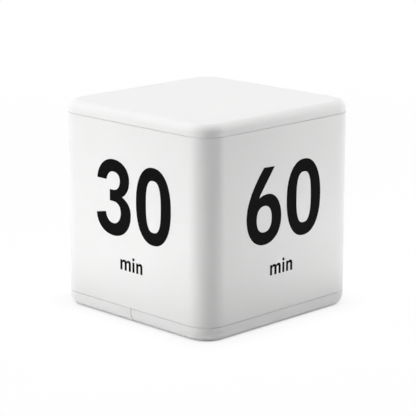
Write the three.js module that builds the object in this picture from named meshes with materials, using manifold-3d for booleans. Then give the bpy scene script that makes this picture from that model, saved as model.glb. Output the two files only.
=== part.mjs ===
// Cube timer: a white gravity-sensing preset timer in a rounded cube.
// Turning a numbered side up starts that many minutes. Millimetres, +Z up,
// origin at the middle of the base face. "30" is on -Y, "60" on +X, "15" on +Y and "20" on -X.

import * as THREE from "three";
import { mergeVertices } from "three/addons/utils/BufferGeometryUtils.js";
import Module from "manifold-3d";

const wasm = await Module();
wasm.setup();

// Driving dimensions of the case; its side is worked out further down from what it holds
const cornerRadius = 7.5;
const topFillet = 2.6;
const bottomFillet = 2.4;
const wall = 2.2;
const capHeight = 3.7;
const seamHeight = 4.5;
const floorThick = 2;

// Driving dimensions of what the case holds
const cellDiameter = 10.5;
const cellLength = 44.5;
const boardLift = 7;
const boardThick = 1.2;

// Battery bay: two cells lie side by side along Y, pointing opposite ways
const bay = {
  wall: 1.5, footWall: 1.2, sideGap: 0.6, cellGap: 0.8, underGap: 0.5, round: 2, ribWidth: 1.2, ribDrop: 2.4,
  endMargin: 1, splitMargin: 1.7,
};
const contact = {
  thick: 0.4, gap: 0.2, springLength: 4.7, width: 8.4, tabWidth: 3, tabRise: 2.2, slotGap: 0.3,
};

// Display: a clear lens outside, the glass behind it, and a holder with rubber connectors up to the board
const display = {
  glassLong: 24, glassShort: 14, glassThick: 1.9, borderLong: 1.5, borderShort: 2,
  lensMargin: 1.6, lensThick: 0.9, lensSink: 0.2, lensGap: 0.25,
  holderWall: 1.25, holderGap: 0.25, round: 0.8, stripThick: 1.8, stripInset: 0.4, stripShort: 1.2,
};

// Buzzer on the base floor, over its sound holes
const buzzer = {
  radius: 6, height: 6, wall: 1, portRadius: 1.2, discThick: 0.3, discSeat: 0.6, discGap: 0.1,
  fromEdge: 1.2, fromHolder: 1, holeRadius: 0.55, holeRing: 2.8, holes: 6,
};

// Clearances and finish
const seamGap = 0.3;
const fitGap = 0.25;
const runGap = 0.3;
const splitGap = 0.3;
const edgeBreak = 0.3;
const overrun = 1;
const fuse = 0.2;
const inkThick = 0.06;

// Counts of facets
const cornerSteps = 8;
const filletSteps = 5;
const largeSides = 24;
const smallSides = 12;
const tinySides = 8;
const blockCornerSteps = 4;

// Colours, roughness and metalness of each finish
const finishes = {
  whitePlastic: { color: 0xf0f0ee, roughness: 0.42, metalness: 0 },
  ink: { color: 0x121212, roughness: 0.5, metalness: 0 },
  blackPlastic: { color: 0x1c1c1e, roughness: 0.5, metalness: 0 },
  clearPlastic: { color: 0xd5dde0, roughness: 0.08, metalness: 0 },
  displayGlass: { color: 0x9aa58c, roughness: 0.12, metalness: 0 },
  rubber: { color: 0x3a3a3d, roughness: 0.8, metalness: 0 },
  board: { color: 0x1f5b38, roughness: 0.5, metalness: 0 },
  steel: { color: 0xb9bcc0, roughness: 0.32, metalness: 1 },
  nickel: { color: 0xcfcbc0, roughness: 0.28, metalness: 1 },
  brass: { color: 0xc9a24a, roughness: 0.35, metalness: 1 },
  cellJacket: { color: 0x2f6f9f, roughness: 0.35, metalness: 0.4 },
  redLead: { color: 0xb32020, roughness: 0.5, metalness: 0 },
  blackLead: { color: 0x161616, roughness: 0.5, metalness: 0 },
};

// Places that several pieces share
const lip = { thick: 1.6, reach: 3 };
const lipOuter = wall + fitGap;
const lipInner = lipOuter + lip.thick;
const bayWide = 2 * (cellDiameter + bay.sideGap) + bay.cellGap;
const bayY = (cellLength + contact.springLength) / 2 + contact.thick + contact.gap;
const viewLong = display.glassLong - 2 * display.borderLong;
const viewShort = display.glassShort - 2 * display.borderShort;
const lensLong = viewLong + 2 * display.lensMargin;
const lensShort = viewShort + 2 * display.lensMargin;
const holderLong = display.glassLong + 2 * (display.holderGap + display.holderWall);
const holderShort = display.glassShort + 2 * (display.holderGap + display.holderWall);

// The cube takes the longest of three rows: the cells end to end with their contacts, the cells
// side by side in one half of it, and the display beside the buzzer. All three come to 63.5 now
const halfForCells = bayY + bay.wall + bay.endMargin + lipInner;
const halfForBay = bayWide + 2 * bay.wall + bay.splitMargin + lipInner;
const halfForDisplay = holderLong / 2 + buzzer.fromHolder + 2 * buzzer.radius + buzzer.fromEdge + lipInner;
const half = Math.max(halfForCells, halfForBay, halfForDisplay);
const cubeSide = 2 * half;
const capSeat = cubeSide - capHeight;
const rimTop = seamHeight - seamGap;
const lipBottom = floorThick + runGap;
const lipTop = seamHeight + lip.reach;
const boardZ = floorThick + boardLift;
const boardTop = boardZ + boardThick;

// Solids: three.js shapes go in, one closed solid comes out

function toSolid(geometry) {
  geometry.deleteAttribute("normal");
  geometry.deleteAttribute("uv");
  const merged = mergeVertices(geometry, 1e-4);
  const corners = merged.index.array;
  const kept = [];
  for (let i = 0; i < corners.length; i += 3) {
    const [a, b, c] = [corners[i], corners[i + 1], corners[i + 2]];
    if (a !== b && b !== c && c !== a) {
      kept.push(a, b, c);
    }
  }
  return new wasm.Manifold(new wasm.Mesh({
    numProp: 3,
    vertProperties: new Float32Array(merged.attributes.position.array),
    triVerts: new Uint32Array(kept),
  }));
}

function toGeometry(solid) {
  const mesh = solid.getMesh();
  const geometry = new THREE.BufferGeometry();
  geometry.setAttribute("position", new THREE.BufferAttribute(new Float32Array(mesh.vertProperties), 3));
  geometry.setIndex(new THREE.BufferAttribute(new Uint32Array(mesh.triVerts), 1));
  geometry.computeVertexNormals();
  return geometry;
}

function joined(...solids) {
  return solids.reduce((sum, solid) => sum.add(solid));
}

function cutFrom(solid, ...tools) {
  return tools.reduce((rest, tool) => rest.subtract(tool), solid);
}

// A block between two corners
function block(low, high) {
  const [x, y, z] = [0, 1, 2].map((i) => high[i] - low[i]);
  const geometry = new THREE.BoxGeometry(x, y, z);
  geometry.translate(...[0, 1, 2].map((i) => (low[i] + high[i]) / 2));
  return toSolid(geometry);
}

// An upright block with round vertical edges
function roundedBlock(low, high, radius) {
  const shape = new THREE.Shape();
  const [x0, y0, z0] = low;
  const [x1, y1, z1] = high;
  shape.absarc(x1 - radius, y0 + radius, radius, -Math.PI / 2, 0);
  shape.absarc(x1 - radius, y1 - radius, radius, 0, Math.PI / 2);
  shape.absarc(x0 + radius, y1 - radius, radius, Math.PI / 2, Math.PI);
  shape.absarc(x0 + radius, y0 + radius, radius, Math.PI, 1.5 * Math.PI);
  const geometry = new THREE.ExtrudeGeometry(shape, {
    depth: z1 - z0, bevelEnabled: false, curveSegments: blockCornerSteps,
  });
  geometry.translate(0, 0, z0);
  return toSolid(geometry);
}

// An upright round bar from one height to another
function rod(x, y, low, high, radius, sides = smallSides) {
  const geometry = new THREE.CylinderGeometry(radius, radius, high - low, sides);
  geometry.rotateX(Math.PI / 2);
  geometry.translate(x, y, (low + high) / 2);
  return toSolid(geometry);
}

// A turned piece about Z, from [radius, height] pairs that start and end on the axis
function turned(profile, sides = largeSides) {
  const geometry = new THREE.LatheGeometry(profile.map(([r, z]) => new THREE.Vector2(r, z)), sides);
  geometry.rotateX(Math.PI / 2);
  return geometry;
}

// One ring of the rounded square outline, moved in from the cube's sides
function outline(inset) {
  const radius = cornerRadius - inset;
  const centre = half - cornerRadius;
  const points = [];
  for (let corner = 0; corner < 4; corner += 1) {
    const start = (corner * Math.PI) / 2;
    const middle = start + Math.PI / 4;
    const cx = Math.sign(Math.cos(middle)) * centre;
    const cy = Math.sign(Math.sin(middle)) * centre;
    for (let step = 0; step <= cornerSteps; step += 1) {
      const angle = start + (step / cornerSteps) * (Math.PI / 2);
      points.push([cx + radius * Math.cos(angle), cy + radius * Math.sin(angle)]);
    }
  }
  return points;
}

// A solid through a stack of such rings, each given as [inset, height]
function stack(rings) {
  const position = [];
  const index = [];
  const count = 4 * (cornerSteps + 1);
  rings.forEach(([inset, z]) => outline(inset).forEach(([x, y]) => position.push(x, y, z)));
  for (let ring = 0; ring + 1 < rings.length; ring += 1) {
    for (let i = 0; i < count; i += 1) {
      const a = ring * count + i;
      const b = ring * count + ((i + 1) % count);
      index.push(a, b, b + count, a, b + count, a + count);
    }
  }
  const last = (rings.length - 1) * count;
  for (let i = 1; i + 1 < count; i += 1) {
    index.push(0, i + 1, i, last, last + i, last + i + 1);
  }
  const geometry = new THREE.BufferGeometry();
  geometry.setAttribute("position", new THREE.BufferAttribute(new Float32Array(position), 3));
  geometry.setIndex(index);
  return toSolid(geometry);
}

function straightStack(inset, low, high) {
  return stack([[inset, low], [inset, high]]);
}

// The rings of a round edge, from its flat face out to the side, at a height and going up or down
function filletRings(radius, z, up) {
  const rings = [];
  for (let step = 0; step <= filletSteps; step += 1) {
    const angle = (step / filletSteps) * (Math.PI / 2);
    rings.push([radius * (1 - Math.sin(angle)), z + up * radius * (1 - Math.cos(angle))]);
  }
  return rings;
}

// A closed tube along a curve
function tube(curve, radius, sides, steps) {
  const section = new THREE.Shape();
  for (let i = 0; i < sides; i += 1) {
    const angle = (i / sides) * 2 * Math.PI;
    const [x, y] = [radius * Math.cos(angle), radius * Math.sin(angle)];
    if (i === 0) {
      section.moveTo(x, y);
    } else {
      section.lineTo(x, y);
    }
  }
  return new THREE.ExtrudeGeometry(section, { steps, bevelEnabled: false, extrudePath: curve });
}

const timer = new THREE.Group();

function addPiece(name, geometry, finish) {
  const material = new THREE.MeshStandardMaterial(finishes[finish]);
  material.name = finish;
  const mesh = new THREE.Mesh(geometry, material);
  mesh.name = name;
  timer.add(mesh);
  return mesh;
}

// Snap barbs hold the cap in the sleeve and the base's far side in the sleeve
const barb = { width: 8, height: 1.4, out: 0.6, below: 1.2, baseShare: 0.45 };
const barbOut = lipOuter - barb.out;

// One barb on the side whose outward direction is a quarter turn number, or the pocket that takes it
function barbBlock(side, along, z, grow) {
  const low = [half - lipInner + fuse, along - barb.width / 2 - grow, z - grow];
  const high = [half - barbOut + grow, along + barb.width / 2 + grow, z + barb.height + grow];
  const geometry = new THREE.BoxGeometry(high[0] - low[0], high[1] - low[1], high[2] - low[2]);
  geometry.translate((low[0] + high[0]) / 2, (low[1] + high[1]) / 2, (low[2] + high[2]) / 2);
  geometry.rotateZ((side * Math.PI) / 2);
  return toSolid(geometry);
}

const capBarbZ = capSeat - barb.height - barb.below;
const baseBarbZ = seamHeight + barb.below;
const baseBarbY = barb.baseShare * (half - cornerRadius);

// Case screws go up through the fixed half of the base into posts in the sleeve's corners
const caseScrew = {
  inset: 7.15, headRadius: 2.6, headHeight: 1.8, sink: 1.4, shankRadius: 1.25, reach: 11,
  bossRadius: 4.1, postRadius: 3, postHeight: 12, slotDepth: 0.7, slotWidth: 0.7, slotLength: 3.4,
};
const screwX = half - caseScrew.inset;
const screwHeadTop = caseScrew.sink + caseScrew.headHeight;
const postLow = lipTop + runGap;
const bossTop = lipTop;

function makeBodyShell() {
  const outer = stack([
    [0, seamHeight],
    [0, capSeat - edgeBreak],
    [edgeBreak, capSeat],
  ]);
  let shell = outer.subtract(straightStack(wall, seamHeight - overrun, capSeat + overrun));
  for (const side of [1, -1]) {
    const y = side * screwX;
    const post = rod(screwX, y, postLow, postLow + caseScrew.postHeight, caseScrew.postRadius, largeSides);
    const toWall = half - wall + fuse;
    const webX = block(
      [screwX, y - caseScrew.postRadius / 2, postLow],
      [toWall, y + caseScrew.postRadius / 2, postLow + caseScrew.postHeight],
    );
    const webY = block(
      [screwX - caseScrew.postRadius / 2, Math.min(y, side * toWall), postLow],
      [screwX + caseScrew.postRadius / 2, Math.max(y, side * toWall), postLow + caseScrew.postHeight],
    );
    const pilotTop = screwHeadTop + caseScrew.reach + overrun;
    const pilot = rod(screwX, y, postLow - overrun, pilotTop, caseScrew.shankRadius + fitGap);
    shell = joined(shell, post, webX, webY).subtract(pilot);
  }
  for (let side = 0; side < 4; side += 1) {
    shell = shell.subtract(barbBlock(side, 0, capBarbZ, runGap));
  }
  for (const y of [baseBarbY, -baseBarbY]) {
    shell = shell.subtract(barbBlock(2, y, baseBarbZ, runGap));
  }
  addPiece("body_shell", toGeometry(shell), "whitePlastic");
}

// Top cap: a bare panel with rolled edges, and a lip that plugs into the sleeve
const cap = { thick: 2.2, lipDepth: 4.2 };

function makeTopCap() {
  const rings = [[0, capSeat], ...filletRings(topFillet, cubeSide, -1).reverse()];
  const hollow = straightStack(lipInner, capSeat - overrun, cubeSide - cap.thick);
  const ring = straightStack(lipOuter, capSeat - cap.lipDepth, capSeat + fuse)
    .subtract(straightStack(lipInner, capSeat - cap.lipDepth - overrun, capSeat + overrun));
  let solid = joined(stack(rings).subtract(hollow), ring);
  for (let side = 0; side < 4; side += 1) {
    solid = solid.add(barbBlock(side, 0, capBarbZ, 0));
  }
  addPiece("top_cap", toGeometry(solid), "whitePlastic");
}

// The battery bay lies against the lip on the -X side
const bayX0 = -(half - lipInner) + bay.wall;
const bayX1 = bayX0 + bayWide;
const cellZ = floorThick + bay.underGap + cellDiameter / 2;
const bayCeiling = cellZ + cellDiameter / 2 + bay.sideGap;
const bayTop = bayCeiling + bay.wall;
const bayMiddle = (bayX0 + bayX1) / 2;
const cellX = [bayMiddle - (cellDiameter + bay.cellGap) / 2, bayMiddle + (cellDiameter + bay.cellGap) / 2];

// Rails: tongues on the door's rim run in grooves beside the bay
const rail = { flange: 0.8, tongue: 0.8, depth: 1, clear: 0.2, endGap: 1.5 };
const tongueLow = lipBottom + rail.flange + rail.clear;
const tongueHigh = tongueLow + rail.tongue;
const tongueIn = wall + rail.depth;

// Circuit board over the fixed half of the base
const board = { startX: 1.5, edgeGap: 0.4, endMargin: 1.3 };
const boardX0 = board.startX;
const boardX1 = half - lipInner - board.edgeGap;
const boardMiddle = (boardX0 + boardX1) / 2;

// Slide switches: a body under the board, and a sunk knob that slides along X in a slot of the base
const slider = {
  bodyLong: 8, bodyWide: 4.4, bodyTall: 4.2, gapToHolder: 1.6, apart: 7.7,
  padLong: 3.2, padWide: 2.8, sink: 0.5, travel: 2, clear: 0.25,
  flangeLong: 8.2, flangeWide: 4.6, flangeThick: 0.8, ridge: 0.35, ridges: 3,
  stemLong: 1.4, stemWide: 1.4, stemIn: 1.2, stemClear: 0.3,
};
const sliderY = -(holderLong / 2 + slider.gapToHolder + slider.bodyWide / 2);
const sliderX = [boardMiddle - slider.apart, boardMiddle + slider.apart];
const sliderSlotLong = slider.padLong + slider.travel + 2 * slider.clear;
const sliderSlotWide = slider.padWide + 2 * slider.clear;
const flangeLow = floorThick + runGap;
const flangeHigh = flangeLow + slider.flangeThick;
const switchLow = boardZ - slider.bodyTall;
const boardY = -sliderY + slider.bodyWide / 2 + board.endMargin;

// Board screws stand on bosses moulded in the base
const boardScrew = {
  bossRadius: 2.3, headRadius: 2, headHeight: 1.2, shankRadius: 0.8, reach: 4.5, edge: 3,
  slotDepth: 0.5, slotWidth: 0.5, slotLength: 2.8,
};
const boardScrewPlaces = [
  [boardX0 + boardScrew.edge, boardY - boardScrew.edge],
  [boardX1 - boardScrew.edge, boardY - boardScrew.edge],
  [boardMiddle, sliderY],
];

const buzzerX = boardMiddle;
const buzzerY = half - lipInner - buzzer.fromEdge - buzzer.radius;

// Tray of the base with its rolled lower edge, before it is split into the fixed half and the door
function makeTray() {
  const rings = [...filletRings(bottomFillet, 0, 1), [0, rimTop - edgeBreak], [edgeBreak, rimTop]];
  return stack(rings).subtract(straightStack(wall, floorThick, rimTop + overrun));
}

function makeBaseCover() {
  const far = half + overrun;
  const fixedHalf = block([splitGap / 2, -far, -overrun], [far, far, rimTop + overrun]);
  let cover = makeTray().intersect(fixedHalf);

  // Locating lip: it stands on the floor of the fixed half and clears the door on the other
  const lipSolid = straightStack(lipOuter, floorThick - fuse, lipTop)
    .subtract(straightStack(lipInner, floorThick - overrun, lipTop + overrun));
  const overDoor = block([-far, -far, 0], [splitGap / 2, far, lipBottom]);
  cover = cover.add(lipSolid.subtract(overDoor));

  // Battery bay
  const bayOuter = roundedBlock(
    [bayX0 - bay.wall - fuse, -bayY - bay.wall, lipBottom],
    [bayX1 + bay.wall, bayY + bay.wall, bayTop],
    bay.round,
  );
  const bayInner = block([bayX0, -bayY, lipBottom - overrun], [bayX1, bayY, bayCeiling]);
  const rib = block(
    [bayMiddle - bay.ribWidth / 2, -bayY + contact.springLength, bayCeiling - bay.ribDrop],
    [bayMiddle + bay.ribWidth / 2, bayY - contact.springLength, bayCeiling + fuse],
  );

  // A bridge carries the bay from a wall that stands on the fixed floor
  const footX = splitGap / 2;
  const bridge = block(
    [bayX1, -bayY - bay.wall, lipTop - bay.wall],
    [footX + bay.footWall, bayY + bay.wall, lipTop],
  );
  const foot = block(
    [footX, -bayY - bay.wall, floorThick - fuse],
    [footX + bay.footWall, bayY + bay.wall, lipTop],
  );
  cover = joined(cover, bridge, foot, bayOuter).subtract(bayInner).add(rib);
  for (const x of cellX) {
    const slotHalf = contact.tabWidth / 2 + contact.slotGap;
    cover = cover.subtract(block(
      [x - slotHalf, bayY - contact.thick - contact.slotGap, bayCeiling - overrun],
      [x + slotHalf, bayY + contact.slotGap, bayTop + overrun],
    ));
  }

  // Grooves for the door's tongues, and barbs that hook into the sleeve
  for (const side of [1, -1]) {
    const inner = side * (half - tongueIn - rail.clear);
    cover = cover.subtract(block(
      [-far, Math.min(inner, side * far), tongueLow - rail.clear],
      [0, Math.max(inner, side * far), tongueHigh + rail.clear],
    ));
    cover = cover.add(barbBlock(2, side * baseBarbY, baseBarbZ, 0));
  }

  // Seats of the board and of the case screws
  for (const [x, y] of boardScrewPlaces) {
    const boss = rod(x, y, floorThick - fuse, boardZ, boardScrew.bossRadius, largeSides);
    const pilotLow = boardZ - boardScrew.reach - runGap;
    cover = cover.add(boss).subtract(rod(x, y, pilotLow, boardZ + overrun, boardScrew.shankRadius + fitGap));
  }
  for (const y of [screwX, -screwX]) {
    const boss = rod(screwX, y, floorThick - fuse, bossTop, caseScrew.bossRadius, largeSides);
    const insideLip = straightStack(lipInner - fuse, 0, bossTop);
    cover = cutFrom(
      cover.add(boss.intersect(insideLip)),
      rod(screwX, y, -overrun, screwHeadTop, caseScrew.headRadius + fitGap, largeSides),
      rod(screwX, y, screwHeadTop - fuse, bossTop + overrun, caseScrew.shankRadius + fitGap),
    );
  }

  // Display opening with the lens seat, switch slots and sound holes
  const seatZ = display.lensSink + display.lensThick;
  const lensSeat = roundedBlock(
    [boardMiddle - lensShort / 2 - display.lensGap, -lensLong / 2 - display.lensGap, -overrun],
    [boardMiddle + lensShort / 2 + display.lensGap, lensLong / 2 + display.lensGap, seatZ],
    display.round,
  );
  const view = block(
    [boardMiddle - viewShort / 2, -viewLong / 2, 0],
    [boardMiddle + viewShort / 2, viewLong / 2, floorThick + overrun],
  );
  cover = cutFrom(cover, lensSeat, view);
  for (const x of sliderX) {
    cover = cover.subtract(block(
      [x - sliderSlotLong / 2, sliderY - sliderSlotWide / 2, -overrun],
      [x + sliderSlotLong / 2, sliderY + sliderSlotWide / 2, floorThick + overrun],
    ));
  }
  for (let hole = 0; hole <= buzzer.holes; hole += 1) {
    const angle = (hole / buzzer.holes) * 2 * Math.PI;
    const ring = hole === buzzer.holes ? 0 : buzzer.holeRing;
    const [x, y] = [buzzerX + ring * Math.cos(angle), buzzerY + ring * Math.sin(angle)];
    cover = cover.subtract(rod(x, y, -overrun, floorThick + overrun / 2, buzzer.holeRadius, tinySides));
  }
  addPiece("base_cover", toGeometry(cover), "whitePlastic");
}

// Battery door: the other half of the base; it slides off along -X
const grip = { long: 16, wide: 8, deep: 0.7, fromEdge: 7, ridges: 5, ridgeShare: 0.4 };

function makeBatteryDoor() {
  const far = half + overrun;
  let door = makeTray().intersect(block([-far, -far, -overrun], [-splitGap / 2, far, rimTop + overrun]));
  for (const side of [1, -1]) {
    const inner = side * (half - tongueIn);
    const outer = side * (half - wall + fuse);
    door = door.add(block(
      [-(half - cornerRadius), Math.min(inner, outer), tongueLow],
      [-splitGap / 2 - rail.endGap, Math.max(inner, outer), tongueHigh],
    ));
  }
  const x1 = -half + grip.fromEdge + grip.wide;
  const pitch = grip.wide / grip.ridges;
  for (let i = 0; i < grip.ridges; i += 1) {
    const high = x1 - i * pitch;
    const low = high - pitch * (1 - grip.ridgeShare);
    door = door.subtract(block([low, -grip.long / 2, -overrun], [high, grip.long / 2, grip.deep]));
  }
  addPiece("battery_door", toGeometry(door), "whitePlastic");
}

// Cells
const cell = { nubRadius: 1.9, nubLength: 0.9, edge: 0.4, capRadiusShare: 0.86 };

function makeCell(name, x, direction) {
  const r = cellDiameter / 2;
  const body = cellLength - cell.nubLength;
  const geometry = turned([
    [0, 0], [r * cell.capRadiusShare, 0], [r, cell.edge], [r, body - cell.edge], [r - cell.edge, body],
    [cell.nubRadius, body], [cell.nubRadius, cellLength], [0, cellLength],
  ]);
  geometry.rotateX((-direction * Math.PI) / 2);
  const nubEnd = direction * (bayY - contact.thick - contact.gap);
  geometry.translate(x, nubEnd - direction * cellLength, cellZ);
  addPiece(name, toGeometry(toSolid(geometry)), "cellJacket");
}

// Contact plates stand on the end walls of the bay; two have tabs up through the roof
function makePlate(name, x0, x1, side, tabX) {
  const wallY = side * bayY;
  const faceY = side * (bayY - contact.thick);
  const [y0, y1] = [Math.min(wallY, faceY), Math.max(wallY, faceY)];
  const low = cellZ - contact.width / 2;
  let plate = block([x0, y0, low], [x1, y1, cellZ + contact.width / 2]);
  if (tabX !== null) {
    plate = plate.add(block(
      [tabX - contact.tabWidth / 2, y0, cellZ],
      [tabX + contact.tabWidth / 2, y1, bayTop + contact.tabRise],
    ));
  }
  addPiece(name, toGeometry(plate), "nickel");
}

// Contact springs: a cone of wire from the plate to the cell's flat end
const spring = { wire: 0.6, baseRadius: 3.7, tipRadius: 1.5, curls: 3, curlSteps: 8, sides: 5 };

function makeSpring(name, x, side) {
  const length = contact.springLength - contact.gap;
  const plateY = side * (bayY - contact.thick);
  const lead = spring.wire;
  const points = [];
  const steps = spring.curls * spring.curlSteps;
  const place = (radius, angle, along) => new THREE.Vector3(
    x + radius * Math.cos(angle),
    plateY - side * along,
    cellZ + radius * Math.sin(angle),
  );
  points.push(place(spring.baseRadius, 0, 0));
  for (let i = 0; i <= steps; i += 1) {
    const t = i / steps;
    const radius = spring.baseRadius + (spring.tipRadius - spring.baseRadius) * t;
    const along = lead + (length - 2 * lead) * t;
    points.push(place(radius, t * spring.curls * 2 * Math.PI, along));
  }
  points.push(place(spring.tipRadius, 0, length));
  let least = Infinity;
  for (let i = 0; i < points.length; i += 1) {
    for (let j = i + spring.curlSteps - 2; j < points.length; j += 1) {
      least = Math.min(least, points[i].distanceTo(points[j]) - spring.wire);
    }
  }
  console.log(`${name}: least gap between curls ${least.toFixed(2)} mm`);
  const curve = new THREE.CatmullRomCurve3(points, false, "centripetal");
  const geometry = tube(curve, spring.wire / 2, spring.sides, points.length - 1);
  addPiece(name, toGeometry(toSolid(geometry)), "steel");
}

function makeBatteries() {
  makeCell("battery_1", cellX[0], 1);
  makeCell("battery_2", cellX[1], -1);
  const reach = contact.width / 2;
  makePlate("positive_plate", cellX[0] - reach, cellX[0] + reach, 1, cellX[0]);
  makePlate("negative_plate", cellX[1] - reach, cellX[1] + reach, 1, cellX[1]);
  makePlate("series_plate", cellX[0] - reach, cellX[1] + reach, -1, null);
  makeSpring("negative_spring", cellX[1], 1);
  makeSpring("series_spring", cellX[0], -1);
}

function makeDisplay() {
  const lens = roundedBlock(
    [boardMiddle - lensShort / 2, -lensLong / 2, display.lensSink],
    [boardMiddle + lensShort / 2, lensLong / 2, display.lensSink + display.lensThick],
    display.round,
  );
  addPiece("lcd_window", toGeometry(lens), "clearPlastic");

  const glassTop = floorThick + display.glassThick;
  const glass = block(
    [boardMiddle - display.glassShort / 2, -display.glassLong / 2, floorThick],
    [boardMiddle + display.glassShort / 2, display.glassLong / 2, glassTop],
  );
  addPiece("lcd_glass", toGeometry(glass), "displayGlass");

  const inLong = display.glassLong + 2 * display.holderGap;
  const inShort = display.glassShort + 2 * display.holderGap;
  const holder = roundedBlock(
    [boardMiddle - holderShort / 2, -holderLong / 2, floorThick],
    [boardMiddle + holderShort / 2, holderLong / 2, boardZ],
    display.round,
  ).subtract(block(
    [boardMiddle - inShort / 2, -inLong / 2, floorThick - overrun],
    [boardMiddle + inShort / 2, inLong / 2, boardZ + overrun],
  ));
  addPiece("lcd_holder", toGeometry(holder), "blackPlastic");

  [-1, 1].forEach((side, i) => {
    const outer = boardMiddle + side * (display.glassShort / 2 - display.stripInset);
    const inner = outer - side * display.stripThick;
    const long = display.glassLong / 2 - display.stripShort;
    const strip = block([Math.min(outer, inner), -long, glassTop], [Math.max(outer, inner), long, boardZ]);
    addPiece(`zebra_strip_${i + 1}`, toGeometry(strip), "rubber");
  });
}

function makeSlider(name, x) {
  const bodyLow = [x - slider.bodyLong / 2, sliderY - slider.bodyWide / 2, switchLow];
  const bodyHigh = [x + slider.bodyLong / 2, sliderY + slider.bodyWide / 2, boardZ];
  const slotLong = slider.stemLong + slider.travel + 2 * slider.stemClear;
  const slotWide = slider.stemWide + 2 * slider.stemClear;
  const body = block(bodyLow, bodyHigh).subtract(block(
    [x - slotLong / 2, sliderY - slotWide / 2, switchLow - overrun],
    [x + slotLong / 2, sliderY + slotWide / 2, switchLow + slider.stemIn + slider.stemClear],
  ));
  addPiece(`${name}_switch_body`, toGeometry(body), "steel");

  // The knob rests at the -X end of its travel
  const knobX = x - slider.travel / 2;
  const pad = block(
    [knobX - slider.padLong / 2, sliderY - slider.padWide / 2, slider.sink],
    [knobX + slider.padLong / 2, sliderY + slider.padWide / 2, flangeLow + fuse],
  );
  const flange = block(
    [knobX - slider.flangeLong / 2, sliderY - slider.flangeWide / 2, flangeLow],
    [knobX + slider.flangeLong / 2, sliderY + slider.flangeWide / 2, flangeHigh],
  );
  const stem = block(
    [knobX - slider.stemLong / 2, sliderY - slider.stemWide / 2, flangeHigh - fuse],
    [knobX + slider.stemLong / 2, sliderY + slider.stemWide / 2, switchLow + slider.stemIn],
  );
  let knob = joined(pad, flange, stem);
  const pitch = slider.padLong / (2 * slider.ridges + 1);
  for (let i = 0; i < slider.ridges; i += 1) {
    const low = knobX - slider.padLong / 2 + (2 * i + 1) * pitch;
    knob = knob.subtract(block(
      [low, sliderY - slider.padWide, slider.sink - overrun],
      [low + pitch, sliderY + slider.padWide, slider.sink + slider.ridge],
    ));
  }
  addPiece(`${name}_switch_knob`, toGeometry(knob), "blackPlastic");
}

function makeBuzzer() {
  const top = floorThick + buzzer.height;
  const seat = top - buzzer.discSeat;
  const chamberRadius = buzzer.radius - 2 * buzzer.wall;
  const shell = cutFrom(
    rod(buzzerX, buzzerY, floorThick, top, buzzer.radius, largeSides),
    rod(buzzerX, buzzerY, floorThick + buzzer.wall, top + overrun, chamberRadius, largeSides),
    rod(buzzerX, buzzerY, seat, top + overrun, buzzer.radius - buzzer.wall, largeSides),
    rod(buzzerX, buzzerY, floorThick - overrun, top, buzzer.portRadius),
  );
  addPiece("buzzer_case", toGeometry(shell), "blackPlastic");
  const discRadius = buzzer.radius - buzzer.wall - buzzer.discGap;
  const disc = rod(buzzerX, buzzerY, seat, seat + buzzer.discThick, discRadius, largeSides);
  addPiece("buzzer_disc", toGeometry(disc), "brass");
}

// Tilt switches on the board: a can with a loose ball for each numbered side
const tilt = {
  canRadius: 2, canWall: 0.3, canLength: 6.4, baseThick: 1.3, lift: 0.2, ballRadius: 1.25, ballGap: 0.12,
  pinRadius: 0.25, pinHole: 0.45, pinApart: 2, pinDown: 0.8, sideways: 2, fromScrew: 0.9,
};
const tiltZ = boardTop + tilt.lift + tilt.canRadius;
const tiltFull = tilt.canLength + tilt.baseThick;
const tiltRow = sliderY + boardScrew.headRadius + tilt.fromScrew + tilt.canRadius;
const tiltColumn = tiltRow + tilt.canRadius + tilt.fromScrew;
const tiltSpread = slider.apart - tilt.canRadius / 2;

// Each entry has the side that it watches, the middle of the switch's foot and the way the can points
const tiltSwitches = [
  { label: "60", x: boardMiddle + tilt.sideways, y: tiltRow, turn: 0 },
  { label: "20", x: boardMiddle - tilt.sideways, y: tiltRow, turn: 2 },
  { label: "15", x: boardMiddle + tiltSpread, y: tiltColumn, turn: 1 },
  { label: "30", x: boardMiddle - tiltSpread, y: tiltColumn + tiltFull, turn: 3 },
];

function placeTilt(geometry, entry) {
  geometry.rotateZ((entry.turn * Math.PI) / 2);
  geometry.translate(entry.x, entry.y, tiltZ);
  return toSolid(geometry);
}

function tiltPins(entry, radius, low, high) {
  return [1, -1].map((side) => {
    const geometry = new THREE.CylinderGeometry(radius, radius, high - low, tinySides);
    geometry.rotateX(Math.PI / 2);
    geometry.translate(tilt.baseThick / 2, (side * tilt.pinApart) / 2, (low + high) / 2 - tiltZ);
    return placeTilt(geometry, entry);
  });
}

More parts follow.
